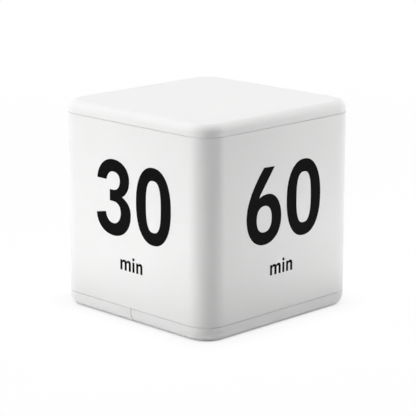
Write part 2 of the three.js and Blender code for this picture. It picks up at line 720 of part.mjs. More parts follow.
function makeTiltSwitch(entry) {
  const inner = tilt.canRadius - tilt.canWall;
  const end = tiltFull - tilt.canWall;
  const can = new THREE.LatheGeometry([
    [inner, tilt.baseThick], [tilt.canRadius, tilt.baseThick], [tilt.canRadius, tiltFull], [0, tiltFull],
    [0, end], [inner, end], [inner, tilt.baseThick],
  ].map(([r, z]) => new THREE.Vector2(r, z)), smallSides);
  can.rotateZ(-Math.PI / 2);
  addPiece(`tilt_can_${entry.label}`, toGeometry(placeTilt(can, entry)), "nickel");

  const foot = new THREE.CylinderGeometry(tilt.canRadius, tilt.canRadius, tilt.baseThick, smallSides);
  foot.rotateZ(-Math.PI / 2);
  foot.translate(tilt.baseThick / 2, 0, 0);
  const pins = tiltPins(entry, tilt.pinRadius, boardTop - tilt.pinDown, tiltZ);
  addPiece(`tilt_base_${entry.label}`, toGeometry(joined(placeTilt(foot, entry), ...pins)), "blackPlastic");

  // The ball lies against the foot, on the low side of the can
  const ball = new THREE.SphereGeometry(tilt.ballRadius, smallSides, smallSides / 2);
  const drop = inner * Math.cos(Math.PI / smallSides) - tilt.ballRadius - tilt.ballGap;
  ball.translate(tilt.baseThick + tilt.ballRadius + tilt.ballGap, 0, -drop);
  addPiece(`tilt_ball_${entry.label}`, toGeometry(placeTilt(ball, entry)), "steel");
}

// Small parts on top of the board
const chip = { radius: 4.2, height: 1.4, shoulderShare: 0.75, shoulderHeightShare: 0.75, fromMiddle: 4.5 };
const crystal = { radius: 1, length: 6, lift: 0.1, outShare: 0.62, fromMiddle: 9 };
const capacitor = { radius: 2.5, height: 6, edge: 0.3, outShare: 0.6, fromMiddle: 9 };
const boardHalfWidth = (boardX1 - boardX0) / 2;

function makeBoard() {
  let sheet = block([boardX0, -boardY, boardZ], [boardX1, boardY, boardTop]);
  for (const [x, y] of boardScrewPlaces) {
    const hole = boardScrew.shankRadius + 2 * fitGap;
    sheet = sheet.subtract(rod(x, y, boardZ - overrun, boardTop + overrun, hole));
  }
  for (const entry of tiltSwitches) {
    sheet = cutFrom(sheet, ...tiltPins(entry, tilt.pinHole, boardZ - overrun, boardTop + overrun));
  }
  addPiece("main_board", toGeometry(sheet), "board");

  const blob = turned([
    [0, 0], [chip.radius, 0], [chip.radius * chip.shoulderShare, chip.height * chip.shoulderHeightShare],
    [0, chip.height],
  ], smallSides);
  blob.translate(boardMiddle, chip.fromMiddle, boardTop);
  addPiece("controller_blob", toGeometry(toSolid(blob)), "blackPlastic");

  const can = new THREE.CylinderGeometry(crystal.radius, crystal.radius, crystal.length, smallSides);
  can.translate(
    boardMiddle + boardHalfWidth * crystal.outShare,
    crystal.fromMiddle,
    boardTop + crystal.radius + crystal.lift,
  );
  addPiece("crystal_can", toGeometry(toSolid(can)), "nickel");

  const r = capacitor.radius;
  const can2 = turned([
    [0, 0], [r, 0], [r, capacitor.height - capacitor.edge], [r - capacitor.edge, capacitor.height],
    [0, capacitor.height],
  ], smallSides);
  can2.translate(boardMiddle - boardHalfWidth * capacitor.outShare, capacitor.fromMiddle, boardTop);
  addPiece("capacitor", toGeometry(toSolid(can2)), "blackPlastic");
}

// Screws: a slotted round head and a plain shank; up is the way the shank points
function makeScrew(name, x, y, headZ, up, sizes) {
  const shankEnd = headZ + up * (sizes.headHeight + sizes.reach);
  const headIn = headZ + up * sizes.headHeight;
  const head = rod(x, y, Math.min(headZ, headIn), Math.max(headZ, headIn), sizes.headRadius, largeSides);
  const from = headIn - up * fuse;
  const shank = rod(x, y, Math.min(from, shankEnd), Math.max(from, shankEnd), sizes.shankRadius);
  const slotIn = headZ + up * sizes.slotDepth;
  const slotOut = headZ - up * overrun;
  const { slotLength, slotWidth } = sizes;
  const slots = [[slotLength, slotWidth], [slotWidth, slotLength]].map(([lx, ly]) => block(
    [x - lx / 2, y - ly / 2, Math.min(slotIn, slotOut)],
    [x + lx / 2, y + ly / 2, Math.max(slotIn, slotOut)],
  ));
  addPiece(name, toGeometry(cutFrom(joined(head, shank), ...slots)), "steel");
}

function makeScrews() {
  [screwX, -screwX].forEach((y, i) => {
    makeScrew(`case_screw_${i + 1}`, screwX, y, caseScrew.sink, 1, caseScrew);
  });
  boardScrewPlaces.forEach(([x, y], i) => {
    makeScrew(`board_screw_${i + 1}`, x, y, boardTop + boardScrew.headHeight, -1, boardScrew);
  });
}

// Leads: short insulated wires inside the case
const lead = {
  radius: 0.6, stepsEach: 3, endGap: 0.3, arch: 2.4, padInset: 2.4, padFrom: 1, padApart: 2.8,
  buzzerOut: 2.2, buzzerApart: 2, buzzerPad: 3.4, buzzerArch: 4.5,
};

function makeLead(name, points, finish) {
  const curve = new THREE.CatmullRomCurve3(points.map((p) => new THREE.Vector3(...p)), false, "centripetal");
  const steps = lead.stepsEach * (points.length - 1);
  addPiece(name, toGeometry(toSolid(tube(curve, lead.radius, tinySides, steps))), finish);
}

function makeLeads() {
  const tabTop = bayTop + contact.tabRise;
  const roofZ = bayTop + 2 * runGap + lead.radius;
  const padZ = boardTop + lead.endGap;
  const padX = boardX0 + lead.padInset;
  const tabY = bayY - contact.thick / 2;
  [["red", cellX[0], "redLead"], ["black", cellX[1], "blackLead"]].forEach(([colour, x, finish], order) => {
    const padY = lead.padFrom + order * lead.padApart;
    makeLead(`battery_lead_${colour}`, [
      [x, tabY, tabTop + lead.endGap],
      [x, tabY, tabTop + lead.arch / 2],
      [x, tabY - lead.arch, tabTop + lead.arch],
      [x, tabY - 3 * lead.arch, roofZ],
      [x, padY + 2 * lead.arch, roofZ],
      [x + 2 * lead.arch, padY, roofZ],
      [bayX1 + bay.wall + lead.radius, padY, roofZ],
      [padX - lead.radius, padY, (roofZ + padZ) / 2 + lead.radius],
      [padX, padY, padZ + lead.arch / 2],
      [padX, padY, padZ],
    ], finish);
  });
  const discTop = floorThick + buzzer.height - buzzer.discSeat + buzzer.discThick;
  [["red", -1, "redLead"], ["black", 1, "blackLead"]].forEach(([colour, side, finish]) => {
    const x = buzzerX + side * lead.buzzerApart;
    makeLead(`buzzer_lead_${colour}`, [
      [x, buzzerY + lead.buzzerOut, discTop + lead.endGap],
      [x, buzzerY + lead.buzzerOut, discTop + lead.buzzerArch / 2],
      [x, boardY, boardTop + lead.buzzerArch / 2],
      [x, boardY - lead.buzzerPad / 2, padZ + lead.arch],
      [x, boardY - lead.buzzerPad, padZ + lead.arch / 2],
      [x, boardY - lead.buzzerPad, padZ],
    ], finish);
  });
}

// Numbers: ink films on the four sides. Outlines are shares of a digit's width and height,
// written as a start point and then lines [x, y] or curves [x1, y1, x2, y2, x, y].
const digit = { height: 23.1, gap: 2.3, aboveMiddle: 5.3 };
const digitCurvePoints = 7;
const digitWidthShares = { 0: 0.635, 1: 0.433, 2: 0.618, 3: 0.648, 5: 0.622, 6: 0.631 };
const digitWidth = (name) => digit.height * digitWidthShares[name];
const digitMiddle = half + digit.aboveMiddle;
const ringPoints = 40;
const zeroShares = { outerPower: 2.25, innerPower: 2.7, innerWidth: 0.425, innerHeight: 0.665 };
const sixCounterShares = { x: 0.505, y: 0.333, width: 0.43, height: 0.338, power: 2.3 };
const digitShares = {
  1: [
    [0, 0.824], [0.68, 1], [1, 1], [1, 0], [0.584, 0], [0.584, 0.807], [0.178, 0.7],
  ],
  2: [
    [0, 0.665],
    [0.03, 0.87, 0.21, 1, 0.46, 1],
    [0.76, 1, 0.975, 0.87, 0.975, 0.68],
    [0.975, 0.56, 0.91, 0.475, 0.8, 0.375],
    [0.455, 0.165], [1, 0.165], [1, 0], [0, 0], [0, 0.14],
    [0.57, 0.51],
    [0.66, 0.57, 0.69, 0.62, 0.69, 0.68],
    [0.69, 0.77, 0.6, 0.835, 0.46, 0.835],
    [0.34, 0.835, 0.27, 0.77, 0.255, 0.665],
  ],
  3: [
    [0.03, 0.722],
    [0.052, 0.875, 0.235, 1, 0.512, 1],
    [0.77, 1, 0.962, 0.9, 0.962, 0.755],
    [0.962, 0.645, 0.87, 0.57, 0.75, 0.528],
    [0.9, 0.49, 1, 0.42, 1, 0.316],
    [1, 0.13, 0.79, 0, 0.5, 0],
    [0.215, 0, 0.017, 0.105, 0, 0.262],
    [0.272, 0.298],
    [0.3, 0.21, 0.375, 0.163, 0.493, 0.163],
    [0.62, 0.163, 0.707, 0.23, 0.707, 0.318],
    [0.707, 0.405, 0.62, 0.453, 0.48, 0.453],
    [0.392, 0.453], [0.394, 0.601], [0.49, 0.601],
    [0.61, 0.601, 0.689, 0.65, 0.689, 0.733],
    [0.689, 0.8, 0.615, 0.84, 0.503, 0.84],
    [0.4, 0.84, 0.33, 0.795, 0.302, 0.722],
  ],
  5: [
    [0.117, 1], [0.93, 1], [0.93, 0.835], [0.345, 0.835], [0.323, 0.62],
    [0.4, 0.648, 0.48, 0.655, 0.55, 0.655],
    [0.82, 0.655, 1, 0.52, 1, 0.33],
    [1, 0.13, 0.79, 0, 0.49, 0],
    [0.22, 0, 0.03, 0.11, 0, 0.262],
    [0.272, 0.3],
    [0.3, 0.215, 0.37, 0.17, 0.49, 0.17],
    [0.62, 0.17, 0.71, 0.235, 0.71, 0.33],
    [0.71, 0.43, 0.63, 0.49, 0.5, 0.49],
    [0.4, 0.49, 0.33, 0.465, 0.28, 0.43],
    [0.04, 0.46],
  ],
  6: [
    [0.495, 0.993], [0.8, 0.985], [0.4, 0.66],
    [0.375, 0.635, 0.37, 0.62, 0.37, 0.612],
    [0.43, 0.638, 0.52, 0.648, 0.595, 0.648],
    [0.84, 0.648, 1, 0.51, 1, 0.33],
    [1, 0.13, 0.8, 0, 0.51, 0],
    [0.21, 0, 0, 0.15, 0, 0.375],
    [0, 0.55, 0.16, 0.76, 0.495, 0.993],
  ],
};

function roundedRing(x, y, width, height, power) {
  const points = [];
  for (let i = 0; i < ringPoints; i += 1) {
    const angle = (i / ringPoints) * 2 * Math.PI;
    const [c, s] = [Math.cos(angle), Math.sin(angle)];
    points.push(new THREE.Vector2(
      x + (width / 2) * Math.sign(c) * Math.abs(c) ** (2 / power),
      y + (height / 2) * Math.sign(s) * Math.abs(s) ** (2 / power),
    ));
  }
  return points;
}

function digitShape(name) {
  const [w, h] = [digitWidth(name), digit.height];
  if (name === "0") {
    const shape = new THREE.Shape(roundedRing(w / 2, h / 2, w, h, zeroShares.outerPower));
    const [iw, ih] = [w * zeroShares.innerWidth, h * zeroShares.innerHeight];
    shape.holes.push(new THREE.Path(roundedRing(w / 2, h / 2, iw, ih, zeroShares.innerPower)));
    return shape;
  }
  const shape = new THREE.Shape();
  digitShares[name].forEach((step, i) => {
    const at = step.map((share, k) => share * (k % 2 === 0 ? w : h));
    if (i === 0) {
      shape.moveTo(...at);
    } else if (at.length === 2) {
      shape.lineTo(...at);
    } else {
      shape.bezierCurveTo(...at);
    }
  });
  if (name === "6") {
    const eye = sixCounterShares;
    const ring = roundedRing(w * eye.x, h * eye.y, w * eye.width, h * eye.height, eye.power);
    shape.holes.push(new THREE.Path(ring));
  }
  return shape;
}

// The four sides: their number, the quarter turn from -Y, and the shift of the number from the middle
const numberedSides = [
  { label: "30", turn: 0, shift: 1.4 },
  { label: "60", turn: 1, shift: 0.2 },
  { label: "15", turn: 2, shift: 0.5 },
  { label: "20", turn: 3, shift: 0.5 },
];

function makeNumbers() {
  for (const { label, turn, shift } of numberedSides) {
    const digits = [...label];
    const gaps = digit.gap * (digits.length - 1);
    const total = digits.reduce((sum, name) => sum + digitWidth(name), gaps);
    let left = shift - total / 2;
    for (const name of digits) {
      const geometry = new THREE.ExtrudeGeometry(digitShape(name), {
        depth: inkThick, bevelEnabled: false, curveSegments: digitCurvePoints,
      });
      geometry.rotateX(Math.PI / 2);
      geometry.translate(left, -half, digitMiddle - digit.height / 2);
      geometry.rotateZ((turn * Math.PI) / 2);
      addPiece(`number_${label}_digit_${name}`, toGeometry(toSolid(geometry)), "ink");
      left += digitWidth(name) + digit.gap;
    }
  }
}

makeBodyShell();
makeTopCap();
makeBaseCover();
makeBatteryDoor();
makeBatteries();
makeDisplay();
makeSlider("power", sliderX[0]);
makeSlider("volume", sliderX[1]);
makeBuzzer();
makeBoard();
tiltSwitches.forEach(makeTiltSwitch);
makeScrews();
makeLeads();
makeNumbers();

export default timer;
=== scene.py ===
import math

import bmesh
import bpy
from mathutils import Matrix, Vector


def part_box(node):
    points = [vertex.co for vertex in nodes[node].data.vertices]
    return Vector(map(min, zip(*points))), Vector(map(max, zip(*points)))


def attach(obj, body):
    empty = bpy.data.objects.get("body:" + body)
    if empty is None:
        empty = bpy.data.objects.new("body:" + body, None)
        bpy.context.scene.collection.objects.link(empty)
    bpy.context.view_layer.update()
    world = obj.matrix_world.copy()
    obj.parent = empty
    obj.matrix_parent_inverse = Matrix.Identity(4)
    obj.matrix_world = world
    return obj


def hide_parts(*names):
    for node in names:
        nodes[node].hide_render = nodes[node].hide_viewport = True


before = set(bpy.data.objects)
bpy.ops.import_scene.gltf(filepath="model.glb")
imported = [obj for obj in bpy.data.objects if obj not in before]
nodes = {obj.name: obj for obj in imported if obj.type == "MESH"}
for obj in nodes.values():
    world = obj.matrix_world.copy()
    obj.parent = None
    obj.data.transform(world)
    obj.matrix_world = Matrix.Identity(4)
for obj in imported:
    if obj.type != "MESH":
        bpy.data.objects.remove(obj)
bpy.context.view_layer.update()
mm = 0.001


# Camera, where the photograph was taken from

camera = {
    "azimuth": 45.167,
    "elevation": 13.718,
    "distance": 552.1 * mm,
    "aimRight": 0.315 * mm,
    "aimUp": 29.621 * mm,
    "lens": 156.8,
    "sensor": 36,
    "nearest": 10 * mm,
    "farthest": 100,
}


def away(azimuth, elevation):
    # the way from the object to what stands round it
    turn, lift = math.radians(azimuth), math.radians(elevation)
    return Vector((math.sin(turn) * math.cos(lift), -math.cos(turn) * math.cos(lift), math.sin(lift)))


def link(name, data):
    piece = bpy.data.objects.new(name, data)
    bpy.context.scene.collection.objects.link(piece)
    return piece


def stand(name, data, place, back):
    # a camera or a lamp whose back points along back
    holder = link(name, data)
    holder.location = place
    holder.rotation_mode = "QUATERNION"
    holder.rotation_quaternion = (-back).to_track_quat("-Z", "Y")
    return holder


def makeCamera():
    data = bpy.data.cameras.new("camera")
    data.lens = camera["lens"]
    data.sensor_width = camera["sensor"]
    data.clip_start = camera["nearest"]
    data.clip_end = camera["farthest"]
    right = away(camera["azimuth"] + 90, 0)
    back = away(camera["azimuth"], camera["elevation"])
    aim = right * camera["aimRight"] + Vector((0, 0, camera["aimUp"]))
    bpy.context.scene.camera = stand("camera", data, aim + back * camera["distance"], back)
    print("camera ready")


# Meshes: small helpers that every piece uses

rounding = {
    "levelAngle": 60, "softAngle": 50, "mouthAngle": 40, "flatAngle": 1, "layer": "bevel_weight_edge",
    "toolCorner": mm, "toolSteps": 2,
}

# the angle from which an edge stays sharp
keepSharp = {"usual": 30, "pressed": 40, "folded": 50, "soft": 60}


def near(a, b, tolerance=0.01 * mm):
    return abs(a - b) < tolerance


def boxOf(node):
    # a node's lowest and highest corners, its middle and its size
    low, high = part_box(node)
    return low, high, (low + high) / 2, high - low


def middleOf(node):
    return boxOf(node)[2]


def settle(piece):
    # the modifiers' result becomes the piece's own plain mesh
    bpy.context.view_layer.update()
    graph = bpy.context.evaluated_depsgraph_get()
    mesh = bpy.data.meshes.new_from_object(
        piece.evaluated_get(graph), preserve_all_data_layers=True, depsgraph=graph
    )
    name = piece.name
    if piece.type == "MESH":
        piece.modifiers.clear()
        piece.data = mesh
        return piece
    bpy.data.objects.remove(piece)
    return link(name, mesh)


def reshape(piece, change):
    # change works on the piece's mesh
    shape = bmesh.new()
    shape.from_mesh(piece.data)
    change(shape)
    shape.to_mesh(piece.data)
    shape.free()
    return piece


def cleaned(piece, distance=0.002 * mm):
    # doubles go, and every face points outwards
    def change(shape):
        bmesh.ops.remove_doubles(shape, verts=shape.verts, dist=distance)
        bmesh.ops.recalc_face_normals(shape, faces=shape.faces)

    return reshape(piece, change)


def trimmed(piece, distance=0.0005 * mm):
    # faces and edges without a size go
    def change(shape):
        bmesh.ops.remove_doubles(shape, verts=shape.verts, dist=distance)
        bmesh.ops.dissolve_degenerate(shape, edges=shape.edges, dist=distance)

    return reshape(piece, change)


def combine(piece, operation, *tools):
    for tool in tools:
        step = piece.modifiers.new("shape", "BOOLEAN")
        step.operation = operation
        step.solver = "EXACT"
        step.object = tool
        settle(piece)
        bpy.data.objects.remove(tool)
    return piece


def join(pieces, name):
    # the first piece takes in the others
    def change(shape):
        for piece in pieces[1:]:
            shape.from_mesh(piece.data)

    reshape(pieces[0], change)
    for piece in pieces[1:]:
        bpy.data.objects.remove(piece)
    pieces[0].name = name
    return pieces[0]


def prism(name, outline, low, high):
    # an outline of x and y pairs, between two heights
    count = len(outline)
    corners = [(x, y, z) for z in (low, high) for x, y in outline]
    faces = [tuple(range(count))[::-1], tuple(range(count, 2 * count))]
    faces += [(i, (i + 1) % count, (i + 1) % count + count, i + count) for i in range(count)]
    mesh = bpy.data.meshes.new(name)
    mesh.from_pydata(corners, [], faces)
    return cleaned(link(name, mesh))


def roundEdges(piece, radius, steps, chosen):
    # chosen says of an edge's two ends and the angle between its faces whether it gets rounded
    count = 0

    def change(shape):
        nonlocal count
        layers = shape.edges.layers.float
        weight = layers.get(rounding["layer"]) or layers.new(rounding["layer"])
        for edge in shape.edges:
            ends = [vertex.co for vertex in edge.verts]
            take = len(edge.link_faces) == 2 and chosen(*ends, math.degrees(edge.calc_face_angle(0)))
            edge[weight] = 1.0 if take else 0.0
            count += take

    reshape(piece, change)
    bevel = piece.modifiers.new("round", "BEVEL")
    bevel.limit_method = "WEIGHT"
    bevel.width = radius
    bevel.segments = steps
    bevel.use_clamp_overlap = False
    settle(piece)
    leftover = piece.data.attributes.get(rounding["layer"])
    if leftover:
        piece.data.attributes.remove(leftover)
    print(f"  {piece.name}: {count} edges rounded by {radius / mm:.2f} mm")
    return piece


def roundLevel(piece, radius, steps, level):
    # the sharp edges at one height
    def chosen(a, b, angle):
        return angle > rounding["levelAngle"] and near(a.z, level) and near(b.z, level)

    return roundEdges(piece, radius, steps, chosen)


def smooth(piece, angle=keepSharp["usual"]):
    for face in piece.data.polygons:
        face.use_smooth = True
    piece.data.set_sharp_from_angle(angle=math.radians(angle))
    even = piece.modifiers.new("even", "WEIGHTED_NORMAL")
    even.keep_sharp = True
    return piece


def finish(piece, material, slot, *replaced, body="timer_case"):
    piece.data.materials.clear()
    piece.data.materials.append(materials[material])
    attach(piece, body)
    if replaced:
        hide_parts(*replaced)
    return piece


def frameCopy(node):
    piece = link("copy", nodes[node].data.copy())
    piece.data.materials.clear()
    return cleaned(piece)


def refined(name, node, radius, material, slot, steps=2, body="timer_case"):
    # a node's own shape with its edges softened
    def change(shape):
        bmesh.ops.dissolve_limit(
            shape, angle_limit=math.radians(rounding["flatAngle"]), verts=shape.verts, edges=shape.edges
        )

    piece = reshape(frameCopy(node), change)
    piece.name = name
    roundEdges(piece, radius, steps, lambda a, b, angle: angle > rounding["softAngle"])
    return finish(smooth(piece), material, slot, node, body=body)


# Turned pieces: a profile holds pairs of radius and height, from axis to axis


def quarterTurns(steps):
    return [math.pi / 2 * i / steps for i in range(steps + 1)]


def arcOut(middle, level, wide, tall, steps=6):
    # a quarter round that leaves the axis and rises
    return [(middle + wide * math.sin(a), level + tall * (1 - math.cos(a))) for a in quarterTurns(steps)]


def arcIn(middle, level, wide, tall, steps=6):
    # a quarter round that rises and comes back to the axis
    return [(middle + wide * math.cos(a), level + tall * math.sin(a)) for a in quarterTurns(steps)]


def turned(name, profile, axis, start, steps=48, radiusAt=None):
    # the heights run along axis from start
    ahead = Vector(axis).normalized()
    across = ahead.orthogonal().normalized()
    beside = ahead.cross(across)
    vertices, faces, rings = [], [], []
    for radius, height in profile:
        level = Vector(start) + ahead * height
        first = len(vertices)
        if radius == 0:
            vertices.append(level)
            rings.append([first])
            continue
        for i in range(steps):
            angle = 2 * math.pi * i / steps
            out = radiusAt(radius, height, angle) if radiusAt else radius
            vertices.append(level + (across * math.cos(angle) + beside * math.sin(angle)) * out)
        rings.append(range(first, len(vertices)))
    for low, high in zip(rings, rings[1:]):
        for i in range(steps):
            j = (i + 1) % steps
            corners = [low[i % len(low)], low[j % len(low)], high[j % len(high)], high[i % len(high)]]
            faces.append(list(dict.fromkeys(corners)))
    mesh = bpy.data.meshes.new(name)
    mesh.from_pydata(vertices, [], faces)
    return cleaned(link(name, mesh), 0.0001 * mm)


def uprightNode(node):
    # where a round node stands, its radius and its height
    low, _, middle, size = boxOf(node)
    return (middle.x, middle.y, low.z), size.x / 2, size.z


# Nodes: what the geometry trees and the materials share


def addNode(tree, kind, wired={}, fixed={}, **settings):
    # a node with its settings, its fixed inputs and what is wired into it
    node = tree.nodes.new(kind)
    for label, value in settings.items():
        setattr(node, label, value)
    for socket, value in fixed.items():
        node.inputs[socket].default_value = value
    for socket, source in wired.items():
        tree.links.new(source, node.inputs[socket])
    return node


def newTree(name, inputs):
    tree = bpy.data.node_groups.new(name, "GeometryNodeTree")
    for label, kind in inputs.items():
        tree.interface.new_socket(label, in_out="INPUT", socket_type="NodeSocket" + kind)
    tree.interface.new_socket("Material", in_out="INPUT", socket_type="NodeSocketMaterial")
    tree.interface.new_socket("Geometry", in_out="OUTPUT", socket_type="NodeSocketGeometry")
    return tree, tree.nodes.new("NodeGroupInput").outputs


def endTree(tree, given, geometry):
    real = addNode(tree, "GeometryNodeRealizeInstances", {"Geometry": geometry})
    dressed = addNode(tree, "GeometryNodeSetMaterial", {
        "Geometry": real.outputs["Geometry"], "Material": given["Material"],
    })
    addNode(tree, "NodeGroupOutput", {"Geometry": dressed.outputs["Geometry"]})
    return tree


def grown(name, tree, material, values, base=None):
    # a piece that a tree shapes from its named inputs
    piece = link(name, base or bpy.data.meshes.new(name))
    shaper = piece.modifiers.new("shape", "NODES")
    shaper.node_group = tree
    values = {**values, "Material": materials[material]}
    for item in tree.interface.items_tree:
        if item.in_out == "INPUT" and item.name in values:
            shaper[item.identifier] = values[item.name]
    return cleaned(settle(piece))


# Geometry Nodes: upright blocks with round corners


def makeBlockTree():
    tree, given = newTree("rounded block", {
        "Width": "Float", "Length": "Float", "Corner radius": "Float", "Corner steps": "Int",
        "Low": "Float", "Height": "Float", "Middle": "Vector",
    })
    outline = addNode(tree, "GeometryNodeCurvePrimitiveQuadrilateral", {
        "Width": given["Width"], "Height": given["Length"],
    })
    fillet = addNode(tree, "GeometryNodeFilletCurve", {
        "Curve": outline.outputs["Curve"], "Radius": given["Corner radius"], "Count": given["Corner steps"],
    }, mode="POLY")
    face = addNode(tree, "GeometryNodeFillCurve", {"Curve": fillet.outputs["Curve"]}, mode="NGONS")
    up = addNode(tree, "ShaderNodeCombineXYZ", {"Z": given["Height"]})
    side = addNode(tree, "GeometryNodeExtrudeMesh", {
        "Mesh": face.outputs["Mesh"], "Offset": up.outputs["Vector"],
    }, {"Offset Scale": 1, "Individual": False})
    closed = addNode(tree, "GeometryNodeJoinGeometry", {"Geometry": face.outputs["Mesh"]})
    tree.links.new(side.outputs["Mesh"], closed.inputs["Geometry"])
    low = addNode(tree, "ShaderNodeCombineXYZ", {"Z": given["Low"]})
    place = addNode(tree, "ShaderNodeVectorMath", {0: given["Middle"], 1: low.outputs["Vector"]})
    moved = addNode(tree, "GeometryNodeTransform", {
        "Geometry": closed.outputs["Geometry"], "Translation": place.outputs["Vector"],
    })
    return endTree(tree, given, moved.outputs["Geometry"])


def roundedBlock(name, width, length, radius, steps, low, high, middle=(0, 0), material="whitePlastic"):
    return grown(name, blockTree, material, {
        "Width": width, "Length": length, "Corner radius": radius, "Corner steps": steps,
        "Low": low, "Height": high - low, "Middle": (middle[0], middle[1], 0),
    })


# Geometry Nodes: a part at each point of a mesh, turned as the point says


def makeRepeatTree():
    tree, given = newTree("repeat", {"Points": "Geometry", "Part": "Object"})
    part = addNode(tree, "GeometryNodeObjectInfo", {"Object": given["Part"]})
    turn = addNode(
        tree, "GeometryNodeInputNamedAttribute", fixed={"Name": "turn"}, data_type="FLOAT_VECTOR"
    )
    placed = addNode(tree, "GeometryNodeInstanceOnPoints", {
        "Points": given["Points"],
        "Instance": part.outputs["Geometry"],
        "Rotation": turn.outputs["Attribute"],
    })
    return endTree(tree, given, placed.outputs["Instances"])


def repeated(name, part, places, material):
    # places holds a point and a turn about Z for each copy
    base = bpy.data.meshes.new(name)
    base.from_pydata([point for point, turn in places], [], [])
    turns = base.attributes.new("turn", "FLOAT_VECTOR", "POINT")
    for i, (point, turn) in enumerate(places):
        turns.data[i].vector = (0, 0, turn)
    piece = grown(name, repeatTree, material, {"Part": part}, base)
    bpy.data.objects.remove(part)
    return piece


# Case: the outer skins are drawn finely, and the inside follows the frame

case = {
    "side": 63.5 * mm,
    "corner": 7.5 * mm,
    "cornerSteps": 24,
    "topRound": 2.6 * mm,
    "bottomRound": 2.8 * mm,
    "roundSteps": 14,
    "ledge": 0.34 * mm,
    "edgeBreak": 0.12 * mm,
    "edgeSteps": 4,
    "seamLow": 4.5 * mm,
    "rimTop": 4.44 * mm,
    "seamHigh": 59.8 * mm,
    "seamGap": 0.05 * mm,
    "capInset": 0.12 * mm,
    "capWall": 1.2 * mm,
    "split": 0.13 * mm,
    "splitRound": 0.12 * mm,
    "rimRound": 0.28 * mm,
    "coreInset": 1.0 * mm,
    "innerTop": 16 * mm,
}
half = case["side"] / 2


def caseBlock(name, inset, low, high):
    width = case["side"] - 2 * inset
    return roundedBlock(name, width, width, case["corner"] - inset, case["cornerSteps"], low, high)


def hollowed(piece, node, low, high, alsoCore):
    # between two heights the inside is the frame's own, and the skin outside it stays
    space = caseBlock("space", case["coreInset"], low, high)
    combine(space, "DIFFERENCE", frameCopy(node))
    combine(piece, "DIFFERENCE", space)
    if alsoCore:
        core = caseBlock("core", case["coreInset"], low, high)
        combine(core, "INTERSECT", frameCopy(node))
        combine(piece, "UNION", core)
    return trimmed(piece)


def caseFinish(piece, node, body="timer_case"):
    return finish(smooth(piece), "whitePlastic", "white_plastic", node, body=body)


def makeSleeve():
    low, high = case["seamLow"], case["seamHigh"]
    piece = caseBlock("sleeve", 0, low, high)
    roundLevel(piece, case["edgeBreak"], case["edgeSteps"], low)
    roundLevel(piece, case["ledge"], case["edgeSteps"], high)
    hollowed(piece, "body_shell", low - mm, high + mm, False)
    return caseFinish(piece, "body_shell")


def makeTopPanel():
    top = case["side"]
    foot = case["seamHigh"] + case["seamGap"]
    piece = caseBlock("top_panel", case["capInset"], foot, top)
    roundLevel(piece, case["topRound"], case["roundSteps"], top)
    roundLevel(piece, case["edgeBreak"], case["edgeSteps"], foot)
    hollowed(piece, "top_cap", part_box("top_cap")[0].z - mm, top - case["capWall"], True)
    return caseFinish(piece, "top_cap")


def trayHalf(name, side):
    # the fixed half is on +X and the battery door on -X
    piece = caseBlock(name, 0, 0, case["rimTop"])
    roundLevel(piece, case["bottomRound"], case["roundSteps"], 0)
    reach = case["side"]
    middle = side * (case["split"] + reach / 2)
    keep = roundedBlock(
        "keep", reach, 2 * reach, rounding["toolCorner"], rounding["toolSteps"], -mm, 2 * case["rimTop"],
        (middle, 0),
    )
    return combine(piece, "INTERSECT", keep)


def roundMouths(piece):
    # the rim, the split edge and the mouths of the holes lose their sharpness
    def both(a, b, angle, test):
        return angle > rounding["mouthAngle"] and test(a) and test(b)

    def onRim(a, b, angle):
        outside = max(abs(a.x), abs(a.y), abs(b.x), abs(b.y)) > half - mm
        return outside and both(a, b, angle, lambda place: near(place.z, case["rimTop"]))

    def onMouth(a, b, angle):
        return (both(a, b, angle, lambda place: near(abs(place.x), case["split"]))
                or both(a, b, angle, lambda place: near(place.z, 0)))

    roundEdges(piece, case["splitRound"], case["edgeSteps"], onMouth)
    return roundEdges(piece, case["rimRound"], case["edgeSteps"], onRim)


under = {
    "lensGap": 0.25 * mm,
    "lensCorner": 1.05 * mm,
    "lensSteps": 8,
    "lensDepth": 1.1 * mm,
    "view": (10 * mm, 21 * mm),
    "slot": (5.7 * mm, 3.3 * mm),
    "slotCorner": 0.4 * mm,
    "slotSteps": 4,
    "screwHole": 2.85 * mm,
    "screwDepth": 3.2 * mm,
    "screwSides": 48,
    "soundHole": 0.55 * mm,
    "soundRing": 2.8 * mm,
    "soundHoles": 6,
    "soundSides": 24,
    "cutDepth": 2.5 * mm,
}


def roundTool(radius, depth, place, sides):
    # a round cutter from just below the floor up to depth
    shape = bmesh.new()
    bmesh.ops.create_cone(
        shape, cap_ends=True, segments=sides, radius1=radius, radius2=radius, depth=depth + mm,
        matrix=Matrix.Translation((place[0], place[1], (depth - mm) / 2)),
    )
    mesh = bpy.data.meshes.new("tool")
    shape.to_mesh(mesh)
    shape.free()
    return link("tool", mesh)


def slotTool(size, low, place):
    return roundedBlock(
        "tool", *size, under["slotCorner"], under["slotSteps"], low, under["cutDepth"], place
    )


def underTools():
    _, _, middle, size = boxOf("lcd_window")
    gap = 2 * under["lensGap"]
    tools = [
        roundedBlock(
            "tool", size.x + gap, size.y + gap, under["lensCorner"], under["lensSteps"],
            -mm, under["lensDepth"], middle[:2],
        ),
        slotTool(under["view"], 0, middle[:2]),
    ]
    for node in ("power_switch_body", "volume_switch_body"):
        tools.append(slotTool(under["slot"], -mm, middleOf(node)[:2]))
    for node in ("case_screw_1", "case_screw_2"):
        place = middleOf(node)[:2]
        tools.append(roundTool(under["screwHole"], under["screwDepth"], place, under["screwSides"]))
    middle = middleOf("buzzer_case")
    for hole in range(under["soundHoles"] + 1):
        turn = 2 * math.pi * hole / under["soundHoles"]
        out = 0 if hole == under["soundHoles"] else under["soundRing"]
        place = (middle.x + out * math.cos(turn), middle.y + out * math.sin(turn))
        tools.append(roundTool(under["soundHole"], under["cutDepth"], place, under["soundSides"]))
    return tools


